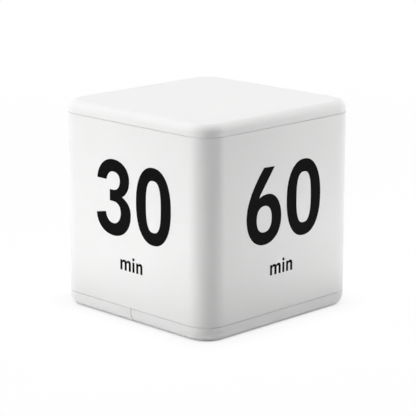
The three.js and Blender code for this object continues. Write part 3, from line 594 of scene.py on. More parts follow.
marks = {
    "deep": 0.25 * mm,
    "fill": 0.12 * mm,
    "fillSink": 0.02 * mm,
    "coverTop": 3 * mm,
    "letterHeight": 1.9 * mm,
    "heightShare": 0.7,
    "curveSteps": 6,
    "letterGap": 0.9 * mm,
    "lineApart": 1.9 * mm,
    "barWidth": 0.5 * mm,
    "barPitch": 0.85 * mm,
    "barCorner": 0.05 * mm,
    "barSteps": 3,
    "loudBars": (0.7 * mm, 1.2 * mm, 1.7 * mm),
    "quietBars": (0.7 * mm,),
    "arrowWide": 5 * mm,
    "arrowLong": 3.2 * mm,
    "arrowFromGrip": 2.6 * mm,
}


def makeWord(word, place):
    # seen from below, words on the base run towards +Y with their tops towards +X
    curve = bpy.data.curves.new("mark", "FONT")
    curve.body = word
    curve.align_x = "RIGHT"
    curve.align_y = "CENTER"
    curve.size = marks["letterHeight"] / marks["heightShare"]
    curve.resolution_u = marks["curveSteps"]
    curve.extrude = marks["deep"]
    piece = cleaned(settle(link("mark", curve)))
    across = Vector((0, 1, 0))
    up = Vector((1, 0, 0))
    turn = Matrix((across, up, across.cross(up))).transposed().to_4x4()
    piece.data.transform(Matrix.Translation((*place, 0)) @ turn)
    return piece


def makeMarks():
    # the pressed shapes: words beside the power switch and bars beside the volume switch
    power, volume = middleOf("power_switch_body"), middleOf("volume_switch_body")
    reach = under["slot"][1] / 2 + marks["letterGap"]
    made = [
        makeWord("OFF", (power.x - marks["lineApart"], power.y - reach)),
        makeWord("ON", (power.x + marks["lineApart"], power.y - reach)),
    ]
    for bars, side in ((marks["quietBars"], -1), (marks["loudBars"], 1)):
        foot = volume.x + side * marks["lineApart"] - max(marks["loudBars"]) / 2
        for i, tall in enumerate(bars):
            made.append(roundedBlock(
                "mark", tall, marks["barWidth"], marks["barCorner"], marks["barSteps"],
                -marks["deep"], marks["deep"],
                (foot + tall / 2, volume.y + reach + i * marks["barPitch"]),
            ))
    return made


def makeArrow():
    # it points the way that the door slides
    base = -half + grip["fromEdge"] + grip["wide"] + marks["arrowFromGrip"] + marks["arrowLong"]
    wide = marks["arrowWide"] / 2
    outline = [(base, -wide), (base, wide), (base - marks["arrowLong"], 0)]
    return prism("mark", outline, -marks["deep"], marks["deep"])


def press(piece, pressed, name, body):
    # each mark is sunk into the piece, with a dark fill at its bottom: paint on the base's marks, and painted
    # shade in the door's moulded arrow
    paint = []
    for mark in pressed:
        copy = link("paint", mark.data.copy())
        copy.data.transform(Matrix.Translation((0, 0, marks["fill"] + marks["deep"])))
        paint.append(copy)
        combine(piece, "DIFFERENCE", mark)
    join(paint, name)
    cover = roundedBlock(
        "tool", case["side"], case["side"], rounding["toolCorner"], rounding["toolSteps"],
        marks["deep"] + marks["fillSink"], marks["coverTop"],
    )
    combine(paint[0], "DIFFERENCE", cover)
    return finish(smooth(paint[0]), "markPaintAndShade", "number_ink", body=body)


def makeBase():
    piece = trayHalf("base", 1)
    combine(piece, "DIFFERENCE", *underTools())
    roundMouths(piece)
    press(piece, makeMarks(), "base_marks", "timer_case")
    hollowed(piece, "base_cover", case["coreInset"], case["innerTop"], True)
    return caseFinish(piece, "base_cover")


grip = {
    "long": 16 * mm,
    "wide": 8 * mm,
    "deep": 0.7 * mm,
    "fromEdge": 7 * mm,
    "ridges": 5,
    "groove": 0.96 * mm,
    "endShare": 2.02,
    "endSteps": 8,
}


def makeDoor():
    piece = trayHalf("door", -1)
    last = -half + grip["fromEdge"] + grip["wide"]
    pitch = grip["wide"] / grip["ridges"]
    wide = grip["groove"]
    for i in range(grip["ridges"]):
        tool = roundedBlock(
            "tool", wide, grip["long"], wide / grip["endShare"], grip["endSteps"], -mm, grip["deep"],
            (last - i * pitch - wide / 2, 0),
        )
        combine(piece, "DIFFERENCE", tool)
    roundMouths(piece)
    # the arrow is moulded, and its dark fill is painted shade that darkens its recess
    press(piece, [makeArrow()], "door_mark", "battery_door")
    hollowed(piece, "battery_door", case["coreInset"], case["rimTop"] + mm, False)
    return caseFinish(piece, "battery_door", "battery_door")


# Display: a clear lens, the glass with its figures, the frame and the contact strips

display = {
    "lensBreak": 0.14 * mm,
    "frameBreak": 0.15 * mm,
    "stripBreak": 0.12 * mm,
    "sheet": 0.8 * mm,
    "sheetCorner": 0.2 * mm,
    "sheetBreak": 0.06 * mm,
    "film": 0.16 * mm,
    "filmInset": 0.6 * mm,
    "filmCorner": 0.3 * mm,
    "cornerSteps": 4,
    "ledge": 1.6 * mm,
    "figure": "30:00",
    "figureTall": 6.4 * mm,
    "figureWide": 3.3 * mm,
    "figurePitch": 4.5 * mm,
    "colonPitch": 2.1 * mm,
    "colonShift": 0.1,
    "colonHeights": (0.3, 0.7),
    "dot": 0.8 * mm,
    "dotCorner": 0.1 * mm,
    "dotSteps": 3,
    "stroke": 0.72 * mm,
    "strokeGap": 0.1 * mm,
    "lean": 0.12,
    "ink": 0.02 * mm,
}

# the strokes of a figure: middle across and up as shares, and whether it stands
strokeShares = {
    "top": (0.5, 1, False), "middle": (0.5, 0.5, False), "bottom": (0.5, 0, False),
    "leftHigh": (0, 0.75, True), "rightHigh": (1, 0.75, True),
    "leftLow": (0, 0.25, True), "rightLow": (1, 0.25, True),
}
strokesOf = {
    "0": ("top", "leftHigh", "rightHigh", "leftLow", "rightLow", "bottom"),
    "3": ("top", "rightHigh", "middle", "rightLow", "bottom"),
}


def makeStroke(length):
    # one bar with pointed ends, lying along Y
    reach = display["stroke"] / 2
    end = length / 2 - display["strokeGap"]
    outline = [
        (0, -end), (reach, -end + reach), (reach, end - reach),
        (0, end), (-reach, end - reach), (-reach, -end + reach),
    ]
    return prism("stroke", outline, 0, display["ink"])


def makeFigures(glassLow, middle):
    wide, tall = display["figureWide"], display["figureTall"]
    steps = [display["colonPitch"] if sign == ":" else display["figurePitch"] for sign in display["figure"]]
    left = -(sum(steps) - (display["figurePitch"] - wide)) / 2
    lying, standing, dots = [], [], []
    for sign, step in zip(display["figure"], steps):
        if sign == ":":
            across = left + display["colonShift"] * step
            dots += [((across, (share - 0.5) * tall), 0) for share in display["colonHeights"]]
        for stroke in strokesOf.get(sign, ()):
            across, up, stands = strokeShares[stroke]
            place = (left + across * wide, (up - 0.5) * tall)
            (standing if stands else lying).append((place, math.pi / 2 if stands else 0))
        left += step
    size = display["dot"]
    made = []
    for places, part in (
        (lying, makeStroke(wide)),
        (standing, makeStroke(tall / 2)),
        (dots, roundedBlock("dot", size, size, display["dotCorner"], display["dotSteps"], 0, display["ink"])),
    ):
        spots = [
            ((middle.x + up, middle.y + along, glassLow - display["ink"]), turn)
            for (along, up), turn in places
        ]
        made.append(repeated("display_figures", part, spots, "figureInk"))
    figures = join(made, "display_figures")
    for vertex in figures.data.vertices:
        vertex.co.y += (vertex.co.x - middle.x) * display["lean"]
    return finish(figures, "figureInk", "display_glass")


def makeDisplay():
    refined("display_lens", "lcd_window", display["lensBreak"], "clearPlastic", "clear_plastic", 3)
    refined("display_frame", "lcd_holder", display["frameBreak"], "blackPlastic", "black_plastic")
    for i in (1, 2):
        refined(f"contact_strip_{i}", f"zebra_strip_{i}", display["stripBreak"], "stripRubber", "rubber")
    low, high, middle, size = boxOf("lcd_glass")
    bottom = low.z + display["film"]
    top = high.z - display["film"]
    sheets = [
        roundedBlock(
            "display_glass", size.x - 2 * narrow, size.y, display["sheetCorner"], display["cornerSteps"],
            foot, foot + display["sheet"], middle[:2],
        )
        for foot, narrow in ((bottom, 0), (top - display["sheet"], display["ledge"]))
    ]
    glass = join(sheets, "display_glass")
    roundEdges(glass, display["sheetBreak"], 2, lambda a, b, angle: angle > rounding["levelAngle"])
    finish(smooth(glass), "displayGlass", "display_glass", "lcd_glass")
    inset = 2 * display["filmInset"]
    film = roundedBlock(
        "display_film", size.x - inset, size.y - inset, display["filmCorner"], display["cornerSteps"],
        low.z + display["ink"], bottom, middle[:2],
    )
    finish(smooth(film), "displayFilm", "display_glass")
    makeFigures(low.z + display["ink"], middle)


# Switches and their knobs

switch = {"knobBreak": 0.09 * mm, "bodyBreak": 0.18 * mm}


def makeSwitch(name):
    knob = f"{name}_switch_knob"
    refined(f"{name}_knob", knob, switch["knobBreak"], "blackPlastic", "black_plastic", 3, knob)
    refined(f"{name}_switch", f"{name}_switch_body", switch["bodyBreak"], "nickel", "nickel")


# Screws: a domed head with a cross recess and a cut thread

caseScrew = {
    "head": 2.6 * mm, "headHeight": 1.8 * mm, "dome": 0.35 * mm, "shank": 1.25 * mm, "core": 0.92 * mm,
    "length": 12.8 * mm, "pitch": 0.9 * mm, "plain": 1.2 * mm, "tip": 1.4 * mm,
    "recess": 1.5 * mm, "recessWide": 0.62 * mm, "recessDeep": 0.9 * mm, "turns": (0.3, 1.1),
}
boardScrew = {
    "head": 2 * mm, "headHeight": 1.2 * mm, "dome": 0.3 * mm, "shank": 0.8 * mm, "core": 0.58 * mm,
    "length": 5.7 * mm, "pitch": 0.6 * mm, "plain": 0.3 * mm, "tip": 0.8 * mm,
    "recess": 1.15 * mm, "recessWide": 0.5 * mm, "recessDeep": 0.6 * mm, "turns": (0.6, 0.2, 1.3),
}
thread = {
    "turnSteps": 8, "around": 32, "headEdge": 0.1 * mm, "crestPower": 1.6, "tipShare": 0.15,
    "recessFoot": 0.45,
}


def makeScrew(name, size, way):
    # the head's face is at the origin and the shank runs along way
    seat, edge, core, head = size["headHeight"], thread["headEdge"], size["core"], size["head"]
    start = seat + size["plain"]
    step = size["pitch"] / thread["turnSteps"]
    count = int((size["length"] - start) / step)
    profile = arcOut(0, 0, head, size["dome"])
    profile += [(head, seat - edge), (head - edge, seat), (size["shank"], seat)]
    profile += [(core, start + i * step) for i in range(count + 1)] + [(0, size["length"])]

    def cut(radius, height, angle):
        if height < start:
            return radius
        turns = height / size["pitch"] - angle / (2 * math.pi)
        crest = abs(2 * (turns - math.floor(turns)) - 1) ** thread["crestPower"]
        taper = min(1, max(thread["tipShare"], (size["length"] - height) / size["tip"]))
        fade = min(1, (height - start) / size["pitch"])
        return (core + (size["shank"] - core) * crest * fade) * taper

    screw = turned(name, profile, (0, 0, way), (0, 0, 0), thread["around"], cut)
    reach, deep, wide = size["recess"], size["recessDeep"], size["recessWide"] / 2
    foot = reach * thread["recessFoot"]
    outline = [(-reach, -mm), (reach, -mm), (reach, 0), (foot, deep), (-foot, deep), (-reach, 0)]
    lay = Matrix(((1, 0, 0), (0, 0, 1), (0, way, 0))).to_4x4()
    for turn in (0, math.pi / 2):
        tool = prism("recess", outline, -wide, wide)
        tool.data.transform(Matrix.Rotation(turn, 4, "Z") @ lay)
        combine(screw, "DIFFERENCE", cleaned(tool))
    return screw


def makeScrews():
    for name, size, way in (("case_screw", caseScrew, 1), ("board_screw", boardScrew, -1)):
        replaced = [f"{name}_{i + 1}" for i in range(len(size["turns"]))]
        places = []
        for node, turn in zip(replaced, size["turns"]):
            low, high, middle, _ = boxOf(node)
            places.append(((middle.x, middle.y, low.z if way > 0 else high.z), turn))
        screws = repeated(name + "s", makeScrew(name, size, way), places, "zinc")
        finish(smooth(screws, keepSharp["pressed"]), "zinc", "steel", *replaced)


# Cells and their contacts

cell = {
    "radius": 5.25 * mm, "jacket": 0.12 * mm, "nub": 1.9 * mm, "nubHeight": 0.9 * mm, "round": 0.5 * mm,
    "crimp": 0.9 * mm, "ring": 7 * mm, "ringEdge": 0.05 * mm, "around": 72,
    "face": 4.5 * mm, "faceSlope": 0.3 * mm, "dish": 0.25 * mm, "lift": 0.05 * mm,
    "shoulder": 0.1 * mm, "plateau": 3.1 * mm, "groove": 0.2 * mm, "nubFoot": 0.25 * mm, "nubEdge": 0.2 * mm,
    "fold": 0.35 * mm, "lip": 0.02 * mm, "hem": 0.3 * mm, "hemTop": 0.09 * mm, "hemFoot": 0.08 * mm,
    "tuck": 0.5 * mm,
}
cellWays = {"battery_1": 1, "battery_2": -1}
spring = {
    "wire": 0.6 * mm, "base": 3.7 * mm, "tip": 1.5 * mm, "curls": 3.0, "length": 4.5 * mm, "steps": 40,
    "sides": 14, "plateBreak": 0.12 * mm,
}


def makeCell(node, way):
    low, high, middle, size = boxOf(node)
    foot = Vector((middle.x, low.y if way > 0 else high.y, middle.z))
    length, wall, nub, bend = size.y, cell["radius"], cell["nub"], cell["round"]
    top = length - cell["nubHeight"]
    inner = wall - cell["jacket"]
    shoulder = top - cell["shoulder"]
    groove = shoulder - cell["groove"]
    can = [
        (0, cell["dish"]), (cell["face"] - cell["faceSlope"], cell["dish"]), (cell["face"], cell["lift"]),
    ]
    can += arcOut(inner - bend, cell["lift"], bend, bend) + arcIn(inner - bend, shoulder - bend, bend, bend)
    can += [
        (cell["plateau"], shoulder), (cell["plateau"] - cell["groove"], groove),
        (nub + cell["nubFoot"], groove), (nub, shoulder), (nub, length - cell["nubEdge"]),
        (nub - cell["nubEdge"], length), (0, length),
    ]
    piece = turned(node + "_can", can, (0, way, 0), foot, cell["around"])
    finish(smooth(piece), "nickel", "nickel", node)
    edge, fold, lip, tuck = wall - cell["crimp"], cell["fold"], cell["lip"], cell["tuck"]
    hem = inner - cell["hem"]
    jacket = [
        (edge, lip), (wall - fold, 0), (wall, fold), (wall, top - fold), (wall - fold, top),
        (edge, top - lip), (edge, top - cell["hemTop"]), (hem, top - cell["hemTop"]),
        (inner + lip, top - tuck), (inner + lip, tuck), (hem, cell["hemTop"]), (edge, cell["hemFoot"]),
        (edge, lip),
    ]
    piece = turned(node + "_jacket", jacket, (0, way, 0), foot, cell["around"])
    return finish(smooth(piece, keepSharp["folded"]), node + "Jacket", "cell_jacket")


def makeSpringTree():
    tree, given = newTree("spring", {
        "Turns": "Float", "Start radius": "Float", "End radius": "Float", "Height": "Float",
        "Wire radius": "Float", "Steps": "Int", "Sides": "Int",
    })
    path = addNode(tree, "GeometryNodeCurveSpiral", {
        "Rotations": given["Turns"], "Start Radius": given["Start radius"],
        "End Radius": given["End radius"], "Height": given["Height"], "Resolution": given["Steps"],
    })
    wire = addNode(tree, "GeometryNodeCurvePrimitiveCircle", {
        "Radius": given["Wire radius"], "Resolution": given["Sides"],
    })
    swept = addNode(tree, "GeometryNodeCurveToMesh", {
        "Curve": path.outputs["Curve"], "Profile Curve": wire.outputs["Curve"],
    }, {"Fill Caps": True})
    return endTree(tree, given, swept.outputs["Mesh"])


def makeSpring(node, tree):
    low, high, middle, _ = boxOf(node)
    side = 1 if middle.y > 0 else -1
    wire = spring["wire"]
    piece = grown(node + "_coil", tree, "springSteel", {
        "Turns": spring["curls"],
        "Start radius": spring["base"],
        "End radius": spring["tip"],
        "Height": spring["length"] - wire,
        "Wire radius": wire / 2,
        "Steps": spring["steps"],
        "Sides": spring["sides"],
    })
    plate = high.y if side > 0 else low.y
    touched = middleOf("battery_2" if side > 0 else "battery_1")
    start = Vector((touched.x, plate - side * wire / 2, touched.z))
    piece.data.transform(Matrix.Translation(start) @ Matrix.Rotation(side * math.pi / 2, 4, "X"))
    return finish(smooth(piece, keepSharp["soft"]), "springSteel", "steel", node)


def makePower():
    for node, way in cellWays.items():
        makeCell(node, way)
    tree = makeSpringTree()
    for node in ("negative_spring", "series_spring"):
        makeSpring(node, tree)
    for node in ("positive_plate", "negative_plate", "series_plate"):
        refined(node + "_strip", node, spring["plateBreak"], "nickel", "nickel")


# Sound and electronics

buzzer = {
    "wall": 1 * mm, "port": 1.2 * mm, "seat": 0.6 * mm, "edge": 0.25 * mm, "around": 64,
    "plateShare": 0.5, "crystalShare": 0.68, "crystalTop": 0.95, "crystalEdge": 0.05 * mm,
}


def makeBuzzer():
    foot, radius, tall = uprightNode("buzzer_case")
    wall, port, edge = buzzer["wall"], buzzer["port"], buzzer["edge"]
    seat = tall - buzzer["seat"]
    profile = [
        (port, 0), (radius - edge, 0), (radius, edge), (radius, tall - edge), (radius - edge, tall),
        (radius - wall, tall), (radius - wall, seat), (radius - 2 * wall, seat), (radius - 2 * wall, wall),
        (port, wall), (port, 0),
    ]
    shell = turned("buzzer_shell", profile, (0, 0, 1), foot, buzzer["around"])
    finish(smooth(shell), "blackPlastic", "black_plastic", "buzzer_case")
    foot, radius, tall = uprightNode("buzzer_disc")
    crystal = radius * buzzer["crystalShare"]
    plate = tall * buzzer["plateShare"]
    profile = [
        (0, 0), (radius, 0), (radius, plate), (crystal, plate), (crystal, tall * buzzer["crystalTop"]),
        (crystal - buzzer["crystalEdge"], tall), (0, tall),
    ]
    disc = turned("buzzer_plate", profile, (0, 0, 1), foot, buzzer["around"])
    finish(smooth(disc), "brass", "brass", "buzzer_disc")


tilt = {
    "can": 2 * mm, "wall": 0.3 * mm, "canLength": 6.4 * mm, "round": 0.35 * mm, "around": 40,
    "bead": 0.12 * mm, "beadFrom": 0.5 * mm, "beadTo": 1.1 * mm, "beadSlope": 0.15 * mm,
    "base": 1.3 * mm, "baseEdge": 0.15 * mm, "baseLip": 0.04 * mm,
    "ball": 1.25 * mm, "ballSteps": 24,
    "pin": 0.25 * mm, "pinApart": 2 * mm, "pinTip": 0.6, "pinTaper": 0.12 * mm, "pinIn": 0.5 * mm,
    "pinSides": 16,
}
tiltTurns = {"60": 0, "15": 1, "20": 2, "30": 3}


def tiltPlaces(label):
    # the way that the can points, the middle of its open end and its two pins' middles
    ahead = Matrix.Rotation(tiltTurns[label] * math.pi / 2, 3, "Z") @ Vector((1, 0, 0))
    foot = middleOf("tilt_can_" + label) - ahead * (tilt["canLength"] / 2)
    beside = Vector((-ahead.y, ahead.x, 0)) * (tilt["pinApart"] / 2)
    pin = foot - ahead * (tilt["base"] / 2)
    return ahead, foot, [pin + beside, pin - beside]


def makeTilt(label):
    ahead, foot, pinMiddles = tiltPlaces(label)
    radius, bend, end = tilt["can"], tilt["round"], tilt["canLength"]
    inner, groove, slope = radius - tilt["wall"], radius - tilt["bead"], tilt["beadSlope"]
    can = [
        (inner, 0), (radius, 0), (radius, tilt["beadFrom"]), (groove, tilt["beadFrom"] + slope),
        (groove, tilt["beadTo"] - slope), (radius, tilt["beadTo"]),
    ]
    can += arcIn(radius - bend, end - bend, bend, bend)
    can += [(0, end), (0, end - tilt["wall"]), (inner, end - tilt["wall"]), (inner, 0)]
    piece = turned(f"tilt_shell_{label}", can, ahead, foot, tilt["around"])
    finish(smooth(piece, keepSharp["pressed"]), "nickel", "nickel", "tilt_can_" + label)

    deep, edge, lip = -tilt["base"], tilt["baseEdge"], tilt["baseLip"]
    base = [
        (0, deep), (radius - edge, deep), (radius, deep + edge), (radius, -lip), (radius - lip, 0), (0, 0),
    ]
    piece = turned(f"tilt_foot_{label}", base, ahead, foot, tilt["around"])
    finish(smooth(piece, keepSharp["pressed"]), "blackPlastic", "black_plastic", "tilt_base_" + label)

    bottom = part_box("tilt_base_" + label)[0].z
    tall = foot.z - tilt["pinIn"] - bottom
    pin = [
        (0, 0), (tilt["pin"] * tilt["pinTip"], 0), (tilt["pin"], tilt["pinTaper"]), (tilt["pin"], tall),
        (0, tall),
    ]
    pins = [
        turned("pin", pin, (0, 0, 1), (place.x, place.y, bottom), tilt["pinSides"]) for place in pinMiddles
    ]
    finish(smooth(join(pins, f"tilt_pins_{label}")), "tin", "nickel")

    ball, steps = tilt["ball"], tilt["ballSteps"]
    turns = [math.pi * i / steps for i in range(1, steps)]
    arc = [(0, -ball)] + [(ball * math.sin(a), -ball * math.cos(a)) for a in turns] + [(0, ball)]
    node = "tilt_ball_" + label
    piece = turned(f"rolling_ball_{label}", arc, (0, 0, 1), middleOf(node), tilt["around"])
    return finish(smooth(piece), "springSteel", "steel", node, body=node)


electronics = {
    "boardBreak": 0.06 * mm, "chipSteps": 12, "chipPower": 0.8,
    "crystalRound": 0.3 * mm, "crystalEdge": 0.1 * mm, "crystalSteps": 5,
    "crystalSides": 36,
    "capEdge": 0.2 * mm, "capGroove": 0.22 * mm, "capBead": (0.7 * mm, 0.9 * mm, 1.1 * mm, 1.3 * mm),
    "capRound": 0.25 * mm, "capSink": 0.05 * mm,
    "copper": 0.035 * mm, "pad": 0.85 * mm, "padHole": 0.3 * mm,
    "joint": 0.5 * mm, "jointFoot": 1.3, "jointTip": 0.6,
    "jointHeights": (0.12 * mm, 0.22 * mm, 0.24 * mm), "padSides": 24, "jointSides": 20,
    "endReach": 0.02 * mm, "endFromEdge": 2 * mm, "leadLevels": 2,
}
leads = ("battery_lead_red", "battery_lead_black", "buzzer_lead_red", "buzzer_lead_black")


def makeElectronics():
    refined("circuit_board", "main_board", electronics["boardBreak"], "solderMask", "circuit_board", 1)
    foot, radius, tall = uprightNode("controller_blob")
    rises = quarterTurns(electronics["chipSteps"])[1:-1]
    dome = [(0, 0), (radius, 0)]
    dome += [(radius * math.cos(a), tall * math.sin(a) ** electronics["chipPower"]) for a in rises]
    dome.append((0, tall))
    piece = turned("chip_cover", dome, (0, 0, 1), foot)
    finish(smooth(piece, keepSharp["soft"]), "epoxy", "black_plastic", "controller_blob")

    low, _, middle, size = boxOf("crystal_can")
    radius, bend, edge = size.z / 2, electronics["crystalRound"], electronics["crystalEdge"]
    profile = [(0, 0), (radius - edge, 0), (radius, edge)]
    profile += arcIn(radius - bend, size.y - bend, bend, bend, electronics["crystalSteps"]) + [(0, size.y)]
    piece = turned("crystal", profile, (0, 1, 0), (middle.x, low.y, middle.z), electronics["crystalSides"])
    finish(smooth(piece), "nickel", "nickel", "crystal_can")

    foot, radius, tall = uprightNode("capacitor")
    edge, groove, bend = electronics["capEdge"], radius - electronics["capGroove"], electronics["capRound"]
    beadLow, grooveLow, grooveHigh, beadHigh = electronics["capBead"]
    top = tall - electronics["capSink"]
    profile = [
        (0, 0), (radius - edge, 0), (radius, edge), (radius, beadLow), (groove, grooveLow),
        (groove, grooveHigh), (radius, beadHigh), (radius, tall - bend), (radius - bend, tall),
        (radius - 2 * bend, top), (0, top),
    ]
    piece = turned("storage_capacitor", profile, (0, 0, 1), foot)
    finish(smooth(piece, keepSharp["pressed"]), "capacitorSleeve", "black_plastic", "capacitor")
    makeSolder()


def makeSolder():
    # pads round the pins and the leads' ends, and solder over the leads' ends
    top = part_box("main_board")[1].z
    ends = [leadEnd(node) for node in leads]
    spots = [place for label in tiltTurns for place in tiltPlaces(label)[2]] + ends
    tall, hole, pad = electronics["copper"], electronics["padHole"], electronics["pad"]
    ring = [(hole, 0), (pad, 0), (pad, tall), (hole, tall), (hole, 0)]
    joint, (low, middle, high) = electronics["joint"], electronics["jointHeights"]
    flare, tip = joint * electronics["jointFoot"], joint * electronics["jointTip"]
    cone = [(0, 0), (flare, 0), (joint, low), (tip, middle), (0, high)]
    for name, profile, sides, level, places, angle in (
        ("solder_pads", ring, electronics["padSides"], top, spots, keepSharp["usual"]),
        ("solder_joints", cone, electronics["jointSides"], top + tall, ends, keepSharp["soft"]),
    ):
        part = turned("part", profile, (0, 0, 1), (0, 0, 0), sides)
        piece = repeated(name, part, [((spot.x, spot.y, level), 0) for spot in places], "tin")
        finish(smooth(piece, angle), "tin", "nickel")


def leadEnd(node):
    # a lead's end on the board is the middle of its lowest points
    places = [vertex.co for vertex in nodes[node].data.vertices]
    if node.startswith("buzzer"):
        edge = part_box("main_board")[1].y
        places = [place for place in places if place.y < edge - electronics["endFromEdge"]]
    lowest = min(place.z for place in places)
    ends = [place for place in places if near(place.z, lowest, electronics["endReach"])]
    return sum(ends, Vector()) / len(ends)


def makeLeads():
    for node in leads:
        piece = frameCopy(node)
        piece.name = node + "_wire"
        rounder = piece.modifiers.new("round", "SUBSURF")
        rounder.levels = electronics["leadLevels"]
        rounder.render_levels = electronics["leadLevels"]
        settle(piece)
        colour = node.split("_")[-1]
        finish(smooth(piece, keepSharp["soft"]), colour + "Lead", colour + "_insulation", node)


# Numbers: outlines as shares of a digit's width and height, in the hand of the frame's own digits

number = {
    "height": 23.1 * mm,
    "gap": 2.3 * mm,
    "middle": half + 5.3 * mm,
    "ink": 0.03 * mm,
    "sink": 0.01 * mm,
    "curveSteps": 20,
    "closeTo": 0.001 * mm,
    "ringPoints": 128,
    "widthShares": {"0": 0.635, "1": 0.433, "2": 0.618, "3": 0.648, "5": 0.622, "6": 0.631},
}

numberedSides = [
    {"label": "30", "turn": 0, "shift": 1.4 * mm},
    {"label": "60", "turn": 1, "shift": 0.2 * mm},
    {"label": "15", "turn": 2, "shift": 0.5 * mm},
    {"label": "20", "turn": 3, "shift": 0.5 * mm},
]

# a step is a line to [x, y] or a curve by two handles to [x1, y1, x2, y2, x, y]
digitShares = {
    "1": [[0, 0.824], [0.68, 1], [1, 1], [1, 0], [0.584, 0], [0.584, 0.807], [0.178, 0.7]],
    "2": [
        [0, 0.665],
        [0.03, 0.87, 0.21, 1, 0.46, 1],
        [0.76, 1, 0.975, 0.87, 0.975, 0.68],
        [0.975, 0.56, 0.91, 0.475, 0.8, 0.375],
        [0.455, 0.165], [1, 0.165], [1, 0], [0, 0], [0, 0.14],
        [0.57, 0.51],
        [0.66, 0.57, 0.69, 0.62, 0.69, 0.68],
        [0.69, 0.77, 0.6, 0.835, 0.46, 0.835],
        [0.34, 0.835, 0.27, 0.77, 0.255, 0.665],
    ],
    "3": [
        [0.03, 0.722],
        [0.052, 0.875, 0.235, 1, 0.512, 1],
        [0.77, 1, 0.962, 0.9, 0.962, 0.755],
        [0.962, 0.645, 0.87, 0.57, 0.75, 0.528],
        [0.9, 0.49, 1, 0.42, 1, 0.316],
        [1, 0.13, 0.79, 0, 0.5, 0],
        [0.215, 0, 0.017, 0.105, 0, 0.262],
        [0.272, 0.298],
        [0.3, 0.21, 0.375, 0.163, 0.493, 0.163],
        [0.62, 0.163, 0.707, 0.23, 0.707, 0.318],
        [0.707, 0.405, 0.62, 0.453, 0.48, 0.453],
        [0.392, 0.453], [0.394, 0.601], [0.49, 0.601],
        [0.61, 0.601, 0.689, 0.65, 0.689, 0.733],
        [0.689, 0.8, 0.615, 0.84, 0.503, 0.84],
        [0.4, 0.84, 0.33, 0.795, 0.302, 0.722],
    ],
    "5": [
        [0.117, 1], [0.93, 1], [0.93, 0.835], [0.345, 0.835], [0.323, 0.62],
        [0.4, 0.648, 0.48, 0.655, 0.55, 0.655],
        [0.82, 0.655, 1, 0.52, 1, 0.33],
        [1, 0.13, 0.79, 0, 0.49, 0],
        [0.22, 0, 0.03, 0.11, 0, 0.262],
        [0.272, 0.3],
        [0.3, 0.215, 0.37, 0.17, 0.49, 0.17],
        [0.62, 0.17, 0.71, 0.235, 0.71, 0.33],
        [0.71, 0.43, 0.63, 0.49, 0.5, 0.49],
        [0.4, 0.49, 0.33, 0.465, 0.28, 0.43],
        [0.04, 0.46],
    ],
    "6": [
        [0.495, 0.993], [0.8, 0.985], [0.4, 0.66],
        [0.375, 0.635, 0.37, 0.62, 0.37, 0.612],
        [0.43, 0.638, 0.52, 0.648, 0.595, 0.648],
        [0.84, 0.648, 1, 0.51, 1, 0.33],
        [1, 0.13, 0.8, 0, 0.51, 0],
        [0.21, 0, 0, 0.15, 0, 0.375],
        [0, 0.55, 0.16, 0.76, 0.495, 0.993],
    ],
}
# rings are middle x, middle y, width and height, and how square they are
ringShares = {
    "0": [[0.5, 0.5, 1, 1, 2.25], [0.5, 0.5, 0.425, 0.665, 2.7]],
    "6": [[0.505, 0.333, 0.43, 0.338, 2.3]],
}

# the small word under each number: its middle stands a little left of the number's,
# and its letters are in units of scale from their left foot
unit = {
    "baseline": 15.7 * mm,
    "scale": 0.973 * mm,
    "behind": 1.0 * mm,
    "letters": [("m", -4.91), ("i", 0.51), ("n", 2.18)],
    "dot": [0.445, 4.07, 0.96, 0.96, 2],
}
letterOutlines = {
    "m": [
        [0, 0], [0, 3.2], [0.85, 3.2], [0.87, 2.8],
        [1.05, 3.12, 1.35, 3.33, 1.75, 3.33],
        [2.2, 3.33, 2.55, 3.12, 2.7, 2.75],
        [2.9, 3.12, 3.25, 3.33, 3.68, 3.33],
        [4.35, 3.33, 4.7, 2.95, 4.7, 2.2],
        [4.7, 0], [3.75, 0], [3.75, 2.05],
        [3.75, 2.4, 3.65, 2.55, 3.4, 2.55],
        [3.05, 2.55, 2.86, 2.35, 2.86, 1.95],
        [2.86, 0], [1.91, 0], [1.91, 2.05],
        [1.91, 2.4, 1.8, 2.55, 1.55, 2.55],
        [1.15, 2.55, 0.89, 2.35, 0.89, 1.9],
        [0.89, 0],
    ],
    "i": [[0, 0], [0, 3.2], [0.89, 3.2], [0.89, 0]],
    "n": [
        [0, 0], [0, 3.2], [0.85, 3.2], [0.87, 2.8],
        [1.05, 3.12, 1.4, 3.33, 1.8, 3.33],
        [2.45, 3.33, 2.73, 2.95, 2.73, 2.2],
        [2.73, 0], [1.82, 0], [1.82, 2.05],
        [1.82, 2.4, 1.7, 2.55, 1.45, 2.55],
        [1.15, 2.55, 0.89, 2.35, 0.89, 1.9],
        [0.89, 0],
    ],
}


def onSheet(origin, scale, x, y):
    return Vector((origin[0] + x * scale[0], origin[1] + y * scale[1], 0))


def addOutline(curve, steps, scale, origin):
    # one closed spline of straight and curved steps
    places = [onSheet(origin, scale, *step[-2:]) for step in steps]
    closing = (places[0] - places[-1]).length < number["closeTo"]
    count = len(places) - closing
    spline = curve.splines.new("BEZIER")
    spline.bezier_points.add(count - 1)
    spline.use_cyclic_u = True
    for i in range(count):
        point = spline.bezier_points[i]
        point.co = places[i]
        point.handle_left_type = "FREE"
        point.handle_right_type = "FREE"
    for i in range(count):
        start, end = spline.bezier_points[i], spline.bezier_points[(i + 1) % count]
        into = steps[i + 1] if i + 1 < len(steps) else [0, 0]
        if len(into) == 6:
            start.handle_right = onSheet(origin, scale, *into[:2])
            end.handle_left = onSheet(origin, scale, *into[2:4])
        else:
            start.handle_right = start.co.lerp(end.co, 1 / 3)
            end.handle_left = start.co.lerp(end.co, 2 / 3)


